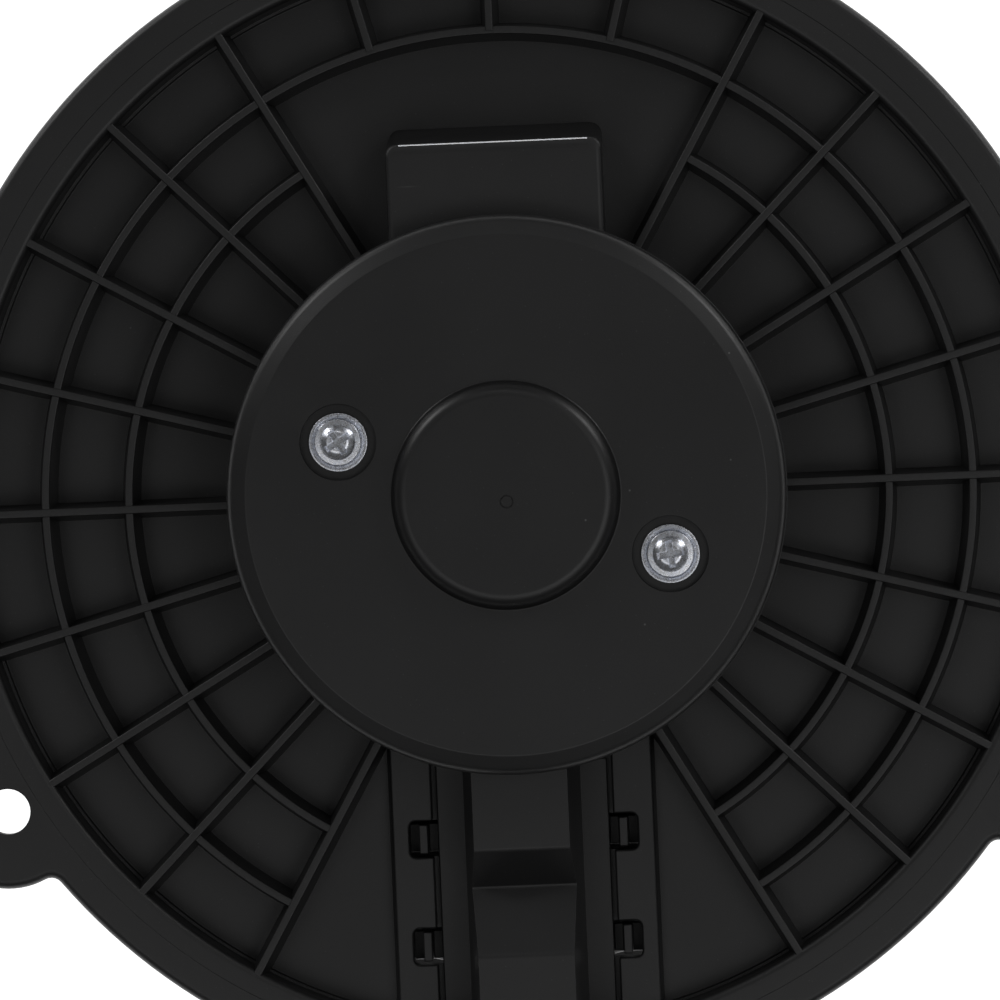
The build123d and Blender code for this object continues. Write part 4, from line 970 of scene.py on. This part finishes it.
class BLOWER_OT_wire_cover(Operator):
    """Make the cable channel's snap-on cover with its four latch fingers"""
    bl_idname = "blower.wire_cover"
    bl_label = "Cable cover"

    def execute(self, context):
        use = context.scene.blower_channel
        floor_z = context.scene.blower_flange.floor_z
        top_z = CHANNEL_HIGH.z
        start, end = CHANNEL_HIGH.y, CHANNEL_LOW.y
        mesh = bmesh.new()
        profile = rounded([(start, floor_z, 0), (end, floor_z, 0), (end, top_z, 0.3 * MM),
                           (use.valley_end, top_z, 2.0 * MM), (use.valley, use.valley_z, 0.5 * MM),
                           (use.valley_start, top_z, 1.2 * MM), (start, top_z, 0)])
        prism(mesh, profile, side_view(-use.ridge_foot), 2 * use.ridge_foot)
        lean = (use.ridge_foot - use.ridge_top) / (top_z - floor_z)
        for vert in mesh.verts:
            vert.co.x -= math.copysign(lean * (vert.co.z - floor_z), vert.co.x)
        # edges that run along one side, above the foot
        shortest, least_run = 0.1 * MM, 0.01 * MM
        long_edges = [e for e in mesh.edges
                      if e.verts[0].co.x * e.verts[1].co.x > 0 and e.calc_length() > shortest
                      and min(v.co.z for v in e.verts) > floor_z + MM
                      and abs(e.verts[0].co.y - e.verts[1].co.y) > least_run]
        soften(mesh, long_edges, use.ridge_round, 5)
        hollow = bmesh.new()
        roof_z = top_z - use.ridge_wall
        inner = [(start + MM, floor_z - MM), (start + MM, roof_z), (use.valley_start + MM, roof_z),
                 (use.valley, use.valley_z - use.ridge_wall), (use.valley_end - MM, roof_z),
                 (end - MM, roof_z), (end - MM, floor_z - MM)]
        half = use.ridge_top - use.ridge_wall
        prism(hollow, inner, side_view(-half), 2 * half)
        carved(mesh, hollow)
        piece("cable_cover_ridge", mesh, "housing", "wire_cover_plastic", "wire_cover", edge=0.2 * MM)
        bands = bmesh.new()
        low = CHANNEL_LOW.z
        root_in, root_out = use.band_out - use.latch_wall, use.band_out - 0.02 * MM
        root_top = floor_z + use.band_t / 2
        bar_in, bar_out = use.latch_x - use.latch_t / 2, use.latch_x + use.latch_t / 2
        barb_out, barb_low = use.latch_x + use.barb, low + 0.2 * MM
        # a wall down through the window, a web, and the finger up again with its barb
        hook = [(root_in, root_top), (root_in, low), (barb_out, barb_low), (barb_out, low + use.barb_t),
                (bar_out, low + use.barb_t), (bar_out, use.latch_top), (bar_in, use.latch_top),
                (bar_in, low + use.web_t), (root_out, low + use.web_t), (root_out, root_top)]
        for side in (-1, 1):
            xs = sorted((side * use.ridge_top, side * use.band_out))
            prism(bands, box_outline(xs[0], end, xs[1], start), upright(z=floor_z), use.band_t)
            for y in (use.near_window, use.far_window):
                place = Matrix(((side, 0, 0, 0), (0, 0, 1, y - use.latch_w / 2), (0, 1, 0, 0), (0, 0, 0, 1)))
                prism(bands, hook, place, use.latch_w)
        piece("cable_cover_bands", bands, "housing", "wire_cover_plastic", "wire_cover", edge=0.2 * MM)
        return {"FINISHED"}


def screw_place(context, side):
    """Middle of a cover screw: the pair stands a little off the axis."""
    use = context.scene.blower_cover
    return (polar(use.screw_r, math.degrees(use.screw_turn) + side)
            + Vector((use.screws_off_x, use.screws_off_y, 0)))


class BLOWER_OT_motor_cover(Operator):
    """Make the motor cover with its raised middle, screw seats and gate mark"""
    bl_idname = "blower.motor_cover"
    bl_label = "Motor cover"

    def execute(self, context):
        use = context.scene.blower_cover
        base = COVER_LOW.z
        inside = use.radius - use.wall
        lip_top = base + 3 * use.lip
        outline = rounded([
            (0, COVER_HIGH.z, 0), (use.boss_r, COVER_HIGH.z, use.boss_round),
            (use.boss_r, use.top_z, use.foot_round), (use.radius - use.slope_w, use.top_z, 0.6 * MM),
            (use.radius, use.top_z - use.slope_drop, use.edge_r), (use.radius, lip_top, 0),
            (use.radius + use.lip, lip_top, 0.08 * MM), (use.radius + use.lip, base, 0.05 * MM),
            (inside, base, 0), (inside, use.top_z - use.wall, MM), (0, use.top_z - use.wall, 0)], 8)
        mesh = bmesh.new()
        lathe(mesh, outline, 144)
        seats = bmesh.new()
        posts = bmesh.new()
        post_r, post_top = use.seat_r + 2 * MM, use.top_z - MM
        post = [(use.hole_r, base), (post_r, base), (post_r, post_top), (use.seat_r, post_top),
                (use.seat_r, use.seat_z), (use.hole_r, use.seat_z)]
        for side in (0, 180):
            middle = screw_place(context, side)
            prism(seats, [middle.xy + polar(use.seat_r, around).xy for around in range(0, 360, 6)],
                  upright(z=use.top_z - 2 * use.wall), 3 * use.wall)
            ring_at(posts, post, middle)
        carved(mesh, seats)
        mark = bmesh.new()
        groove_in, groove_out = use.gate_r - use.gate_w / 2, use.gate_r + use.gate_w / 2
        groove_low, groove_high = COVER_HIGH.z - use.gate_depth, COVER_HIGH.z + MM
        ring_at(mark, [(groove_in, groove_low), (groove_out, groove_low), (groove_out, groove_high),
                       (groove_in, groove_high)], Vector((use.gate_x, use.gate_y, 0)), 32)
        carved(mesh, mark)
        piece("motor_cover_shell", mesh, "housing", "cover_plastic", "motor_cover", edge=0.12 * MM)
        piece("motor_cover_posts", posts, "housing", "cover_plastic", "motor_cover", edge=0.1 * MM)
        return {"FINISHED"}


def ring_at(mesh, outline, middle, steps=60):
    """Spin a closed (radius, height) outline about an upright axis of its own."""
    verts = [mesh.verts.new((middle.x + r, middle.y, z)) for r, z in outline]
    edges = [mesh.edges.new(pair) for pair in zip(verts, verts[1:] + verts[:1])]
    bmesh.ops.spin(mesh, geom=verts + edges, cent=(middle.x, middle.y, 0), axis=(0, 0, 1), dvec=(0, 0, 0),
                   angle=math.tau, steps=steps, use_merge=True, use_duplicate=False)


class BLOWER_OT_cover_screws(Operator):
    """Make the two pan-head screws and their captive washers"""
    bl_idname = "blower.cover_screws"
    bl_label = "Screws and washers"

    def execute(self, context):
        use = context.scene.blower_screws
        washers = bmesh.new()
        seat, face = WASHER_LOW.z, WASHER_HIGH.z
        shank, top = SCREW_LOW.z, SCREW_HIGH.z
        collar = face + use.head_flat
        dish, bed = face - use.washer_dish, face - use.washer_bed
        under = bed + 0.02 * MM
        bore, rim_in = use.shank_r + use.washer_play, use.washer_r - use.washer_rim
        washer = rounded([
            (bore, seat, 0), (use.washer_r, seat, 0.2 * MM), (use.washer_r, face, 0.12 * MM),
            (rim_in, face, 0.06 * MM), (rim_in - 0.06 * MM, dish, 0.04 * MM),
            (use.head_r + 0.2 * MM, dish, 0.08 * MM), (use.head_r + 0.05 * MM, bed, 0), (bore, bed, 0)], 3)
        body = rounded([
            (0, top, 0), (use.dome_r * 0.6, top - 0.1 * MM, 1.2 * MM),
            (use.dome_r, collar + 0.2 * MM, 0.6 * MM), (use.dome_r + 0.03 * MM, collar, 0.05 * MM),
            (use.head_r, collar - 0.04 * MM, 0.16 * MM), (use.head_r, under, 0.1 * MM),
            (use.shank_r, under, 0), (use.shank_r, shank + use.tip_chamfer, 0),
            (use.shank_r - use.tip_chamfer, shank, 0), (0, shank, 0)], 6)
        # one arm of the cross recess, turned to the other three
        arm, half, above = use.recess_r, use.recess_w / 2, 0.4 * MM
        corners = [(half, half, 0.25 * MM), (half, arm, 0.1 * MM), (-half, arm, 0.1 * MM)]
        cross = []
        for _ in range(4):
            cross += corners
            corners = [(-y, x, radius) for x, y, radius in corners]
        cross = rounded(cross, 3)
        for name, side, turn in (("a", 0, use.first_turn), ("b", 180, use.second_turn)):
            middle = screw_place(context, side)
            ring_at(washers, washer, middle, 72)
            screw = bmesh.new()
            lathe(screw, body, 72, middle.xy)
            recess = bmesh.new()
            place = upright(middle.x, middle.y, top + above, math.degrees(turn))
            floor_verts = prism(recess, cross, place, -use.recess_depth - above)
            bmesh.ops.scale(recess, vec=(use.recess_taper, use.recess_taper, 1), verts=floor_verts,
                            space=Matrix.Translation((-middle.x, -middle.y, 0)))
            carved(screw, recess)
            piece("cover_screw_" + name, screw, "housing", "screw_zinc", "cover_screws", edge=0.14 * MM)
        piece("screw_washers", washers, "housing", "screw_zinc", "cover_screw_washers")
        return {"FINISHED"}


class BLOWER_OT_connector(Operator):
    """Make the two-way connector's socket"""
    bl_idname = "blower.connector"
    bl_label = "Connector"

    def execute(self, context):
        use = context.scene.blower_connector
        back, mouth = SHELL_HIGH.y, SHELL_LOW.y
        half, low = SHELL_HIGH.x, SHELL_LOW.z
        outwards = standing(270, -back)
        mesh = bmesh.new()
        prism(mesh, box_outline(-half, low, half, use.body_top, use.corner_r), outwards, back - mouth)
        hollow = bmesh.new()
        inner = half - use.wall
        prism(hollow, box_outline(-inner, low + use.wall, inner, use.body_top - use.wall, use.inner_r),
              standing(270, use.back_t - back), back - mouth)
        carved(mesh, hollow)
        holes = bmesh.new()
        for side in (-1, 1):
            x = side * use.terminal_x
            prism(holes, box_outline(x - use.slot_half_w, use.terminal_z - use.slot_half_h,
                                     x + use.slot_half_w, use.terminal_z + use.slot_half_h),
                  standing(270, -back - MM), use.back_t + 2 * MM)
        carved(mesh, holes)
        piece("connector_socket", mesh, "housing", "connector_plastic", "connector_shell", edge=0.25 * MM)
        details = bmesh.new()
        foot_z = use.body_top - use.foot
        ramp = [(mouth + use.ramp_start, foot_z), (mouth + use.ramp_end, foot_z),
                (mouth + use.ramp_end, SHELL_HIGH.z), (mouth + use.ramp_crest, SHELL_HIGH.z)]
        prism(details, ramp, side_view(-use.ramp_half), 2 * use.ramp_half)
        for side in (-1, 1):
            x = side * use.guide_x
            prism(details, box_outline(x - use.guide_half, mouth + use.guide_inset, x + use.guide_half,
                                       back - use.guide_inset), upright(z=foot_z), use.guide_h)
        piece("connector_guides", details, "housing", "connector_plastic", "connector_shell", edge=0.25 * MM)
        return {"FINISHED"}


def arc_through(first, middle, last, steps=6):
    """Points along the arc through three points."""
    a, b, c = (Vector(p) for p in (first, middle, last))
    d = 2 * (a.x * (b.y - c.y) + b.x * (c.y - a.y) + c.x * (a.y - b.y))
    centre = Vector(((a.length_squared * (b.y - c.y) + b.length_squared * (c.y - a.y)
                      + c.length_squared * (a.y - b.y)) / d,
                     (a.length_squared * (c.x - b.x) + b.length_squared * (a.x - c.x)
                      + c.length_squared * (b.x - a.x)) / d))
    spoke = a - centre
    turn = spoke.angle_signed(c - centre)
    return [centre + Matrix.Rotation(-turn * i / steps, 2) @ spoke for i in range(steps + 1)]


# The wheel's curved sections, in millimetres: the blade's two sides from its inner edge outwards as
# (radius, sideways), and the bell's upper and lower sides as (radius, height, rounding).
BLADE_HOLLOW = ((61.2, -0.5), (69.0, 0.5), (74.9, 5.6))
BLADE_BACK = ((61.2, 0.5), (68.5, 1.5), (74.2, 6.3))
BELL_UPPER = ((46.5, -30.0, 20.0), (40.5, -48.0, 7.0))
BELL_LOWER = ((42.0, -49.8, 9.0), (48.4, -30.7, 20.0))
BELL_HUB = (-54.5, -56.5)


def in_metres(points):
    """The same points with every part in metres."""
    return [tuple(part * MM for part in point) for point in points]


class BLOWER_OT_fan_wheel(Operator):
    """Make the fan wheel: blades, end ring, back plate, bell, hub and gussets"""
    bl_idname = "blower.fan_wheel"
    bl_label = "Fan wheel"

    def execute(self, context):
        use = context.scene.blower_wheel
        outer = WHEEL_HIGH.x
        top, low = WHEEL_HIGH.z, WHEEL_LOW.z
        blades = bmesh.new()
        lower = arc_through(*in_metres(BLADE_HOLLOW))
        upper = arc_through(*in_metres(BLADE_BACK))
        prism(blades, lower + upper[::-1], upright(z=use.blade_bottom), use.blade_top - use.blade_bottom)
        more = use.blade_count - 1
        bmesh.ops.spin(blades, geom=blades.verts[:] + blades.edges[:] + blades.faces[:], cent=(0, 0, 0),
                       axis=(0, 0, 1), dvec=(0, 0, 0), angle=math.tau * more / use.blade_count,
                       steps=more, use_merge=False, use_duplicate=True)
        piece("wheel_blades", blades, "rotor", "wheel_plastic", "fan_wheel", edge=0.2 * MM)
        ring = bmesh.new()
        ring_top = low + use.ring_h
        spun(ring, rounded([(use.ring_in, low, 0.5 * MM), (outer, low, 0.7 * MM),
                            (outer, ring_top, 0.5 * MM), (use.ring_in, ring_top, 0.4 * MM)], 4))
        lip_in, lip_low, lip_high = outer - use.lip_w, top - use.lip_h, top - MM
        spun(ring, rounded([(lip_in, lip_low, 0.3 * MM), (outer, lip_low, 0.4 * MM),
                            (outer, lip_high, 0), (lip_in, lip_high, 0)], 4))
        piece("wheel_rings", ring, "rotor", "wheel_plastic", "fan_wheel")
        bell = bmesh.new()
        plate_low = top - use.plate_t
        hub_in = use.hub_r - MM
        spun(bell, rounded(
            [(outer, top, 0.5 * MM), (use.bell_top_r, top, 7 * MM)] + in_metres(BELL_UPPER)
            + [(hub_in, z * MM, 0) for z in BELL_HUB] + in_metres(BELL_LOWER)
            + [(use.bell_under_r, plate_low, 5 * MM), (outer, plate_low, 0.5 * MM)], 8))
        piece("wheel_bell", bell, "rotor", "wheel_plastic", "fan_wheel")
        hub = bmesh.new()
        spun(hub, rounded([(use.insert_r, use.hub_low, 0.2 * MM), (use.hub_r, use.hub_low, 0.8 * MM),
                           (use.hub_r, use.hub_high, 0), (use.insert_r, use.hub_high, 0)], 4), steps=72)
        gusset = [(-hub_in, use.gusset_top), (-use.gusset_r, use.gusset_tip_z),
                  (-hub_in, use.hub_low + use.gusset_low)]
        for i in range(use.gusset_count):
            turn = 360 * i / use.gusset_count
            prism(hub, gusset, standing(turn + 90, -use.gusset_t / 2), use.gusset_t)
        piece("wheel_hub", hub, "rotor", "wheel_plastic", "fan_wheel", edge=0.25 * MM)
        return {"FINISHED"}


# Soft lights: how far off they stand in metres, how far round the picture and how high in degrees,
# how large they are in metres, and each ceiling light's share of the strongest one's power.
LIGHT_DISTANCE = 1.3
SIDE_LIGHTS = (("left_side", 137), ("right_side", 43))
SIDE_RISE = 21
SIDE_SIZE = (0.34, 0.32)
BACK_TURN = 91.8
BACK_RISE = 49.4
BACK_SIZE = (0.5, 0.16)
CEILING_LIGHTS = ((0, 0.95), (45, 0.3), (135, 0.1), (180, 0.3), (225, 0.8), (270, 0.5), (315, 1.05))
CEILING_RISE = 62
CEILING_SIZE = (0.6, 0.6)


class BLOWER_OT_stage(Operator):
    """Make the white floor with a painted shadow under the object, the soft lights and the camera"""
    bl_idname = "blower.stage"
    bl_label = "Stage"

    def execute(self, context):
        use = context.scene.blower_stage
        scene = context.scene
        scene.view_settings.view_transform = "Standard"
        mesh = bmesh.new()
        bmesh.ops.create_grid(mesh, x_segments=1, y_segments=1, size=4.0,
                              matrix=Matrix.Translation((0, 0, WHEEL_LOW.z - 0.2 * MM)))
        data = bpy.data.meshes.new("floor")
        mesh.to_mesh(data)
        mesh.free()
        floor = bpy.data.objects.new("floor", data)
        scene.collection.objects.link(floor)
        material, tree, shader = new_material("floor_white")
        place = tree.nodes.new("ShaderNodeTexCoord").outputs["Object"]
        level = tree.nodes.new("ShaderNodeVectorMath")
        level.operation = "MULTIPLY"
        tree.links.new(place, level.inputs[0])
        level.inputs[1].default_value = (1, 1, 0)
        reach = tree.nodes.new("ShaderNodeVectorMath")
        reach.operation = "LENGTH"
        tree.links.new(level.outputs[0], reach.inputs[0])
        # painted shadow: under the object the floor is painted dark grey and its glow is cut off, turning
        # white over the shade's edge
        open_floor = between(tree, reach.outputs["Value"], use.shade_r - use.shade_edge, use.shade_r)
        shaded, white = (0.08, 0.08, 0.08, 1), (0.85, 0.85, 0.85, 1)
        tree.links.new(mixed(tree, open_floor, shaded, white), shader.inputs["Base Color"])
        shader.inputs["Roughness"].default_value = 0.9
        shader.inputs["Emission Color"].default_value = (1, 1, 1, 1)
        glow = maths(tree, "MULTIPLY", open_floor, use.floor_glow)
        tree.links.new(glow, shader.inputs["Emission Strength"])
        data.materials.append(material)

        world = bpy.data.worlds.new("surround")
        scene.world = world
        world.use_nodes = True
        tree = world.node_tree
        seen = add(tree, "ShaderNodeLightPath").outputs["Is Camera Ray"]
        strength = between(tree, seen, 0, 1, use.sky, 0.95)
        tree.links.new(strength, tree.nodes["Background"].inputs["Strength"])
        tree.nodes["Background"].inputs["Color"].default_value = (1, 1, 1, 1)

        right = polar(1, -math.degrees(use.roll))
        up = polar(1, 90 - math.degrees(use.roll))
        rim_top = Vector((0, 0, context.scene.blower_flange.rim_thick))
        aim = rim_top + right * use.aim_side + up * use.aim_up
        lean = right * math.tan(use.lean_side) + up * math.tan(use.lean_up)
        back = (Vector((0, 0, 1)) + lean).normalized()
        side = up.cross(back).normalized()
        camera = bpy.data.objects.new("camera", bpy.data.cameras.new("camera"))
        camera.data.lens = use.lens
        camera.data.clip_start = 0.05
        camera.data.dof.use_dof = False
        frame_axes = Matrix((side, back.cross(side), back)).transposed().to_4x4()
        camera.matrix_world = Matrix.Translation(aim + back * use.distance) @ frame_axes
        scene.collection.objects.link(camera)
        scene.camera = camera

        def softbox(name, image_turn, rise, size, power):
            data = bpy.data.lights.new(name, "AREA")
            data.shape = "RECTANGLE"
            data.size, data.size_y = size
            data.energy = power
            lamp = bpy.data.objects.new(name, data)
            turn = image_turn - math.degrees(use.roll)
            place = polar(LIGHT_DISTANCE * math.cos(math.radians(rise)), turn,
                          LIGHT_DISTANCE * math.sin(math.radians(rise)))
            facing = place.to_track_quat("Z", "Y").to_matrix().to_4x4()
            lamp.matrix_world = Matrix.Translation(place) @ facing
            scene.collection.objects.link(lamp)

        for name, turn in SIDE_LIGHTS:
            softbox(name, turn, SIDE_RISE, SIDE_SIZE, use.side)
        softbox("back_line", BACK_TURN, BACK_RISE, BACK_SIZE, use.back)
        for turn, share in CEILING_LIGHTS:
            softbox("ceiling", turn, CEILING_RISE, CEILING_SIZE, use.ceiling * share)
        return {"FINISHED"}


class BLOWER_PT_panel(Panel):
    """Sizes, finishes and parts of the heater blower"""
    bl_idname = "BLOWER_PT_panel"
    bl_label = "Heater blower"
    bl_space_type = "VIEW_3D"
    bl_region_type = "UI"
    bl_category = "Blower"

    def draw(self, context):
        column = self.layout.column()
        for operator in OPERATORS:
            column.operator(operator.bl_idname)
        for name, group in GROUPS.items():
            box = column.box()
            box.label(text=name.replace("blower_", "").capitalize())
            for size in group.__annotations__:
                box.prop(getattr(context.scene, name), size)


OPERATORS = (
    BLOWER_OT_finishes,
    BLOWER_OT_flange_rim,
    BLOWER_OT_flange_dish,
    BLOWER_OT_flange_ribs,
    BLOWER_OT_flange_pocket,
    BLOWER_OT_cooling_duct,
    BLOWER_OT_channel_strips,
    BLOWER_OT_wire_cover,
    BLOWER_OT_motor_cover,
    BLOWER_OT_cover_screws,
    BLOWER_OT_connector,
    BLOWER_OT_fan_wheel,
    BLOWER_OT_stage,
)
CLASSES = tuple(GROUPS.values()) + OPERATORS + (BLOWER_PT_panel,)


def register():
    for made in CLASSES:
        bpy.utils.register_class(made)
    for name, group in GROUPS.items():
        setattr(bpy.types.Scene, name, PointerProperty(type=group))


def unregister():
    for name in GROUPS:
        delattr(bpy.types.Scene, name)
    for made in reversed(CLASSES):
        bpy.utils.unregister_class(made)


def main():
    register()
    for operator in OPERATORS:
        step = operator.bl_idname.split(".")[1]
        getattr(bpy.ops.blower, step)()


if __name__ == "__main__":
    main()
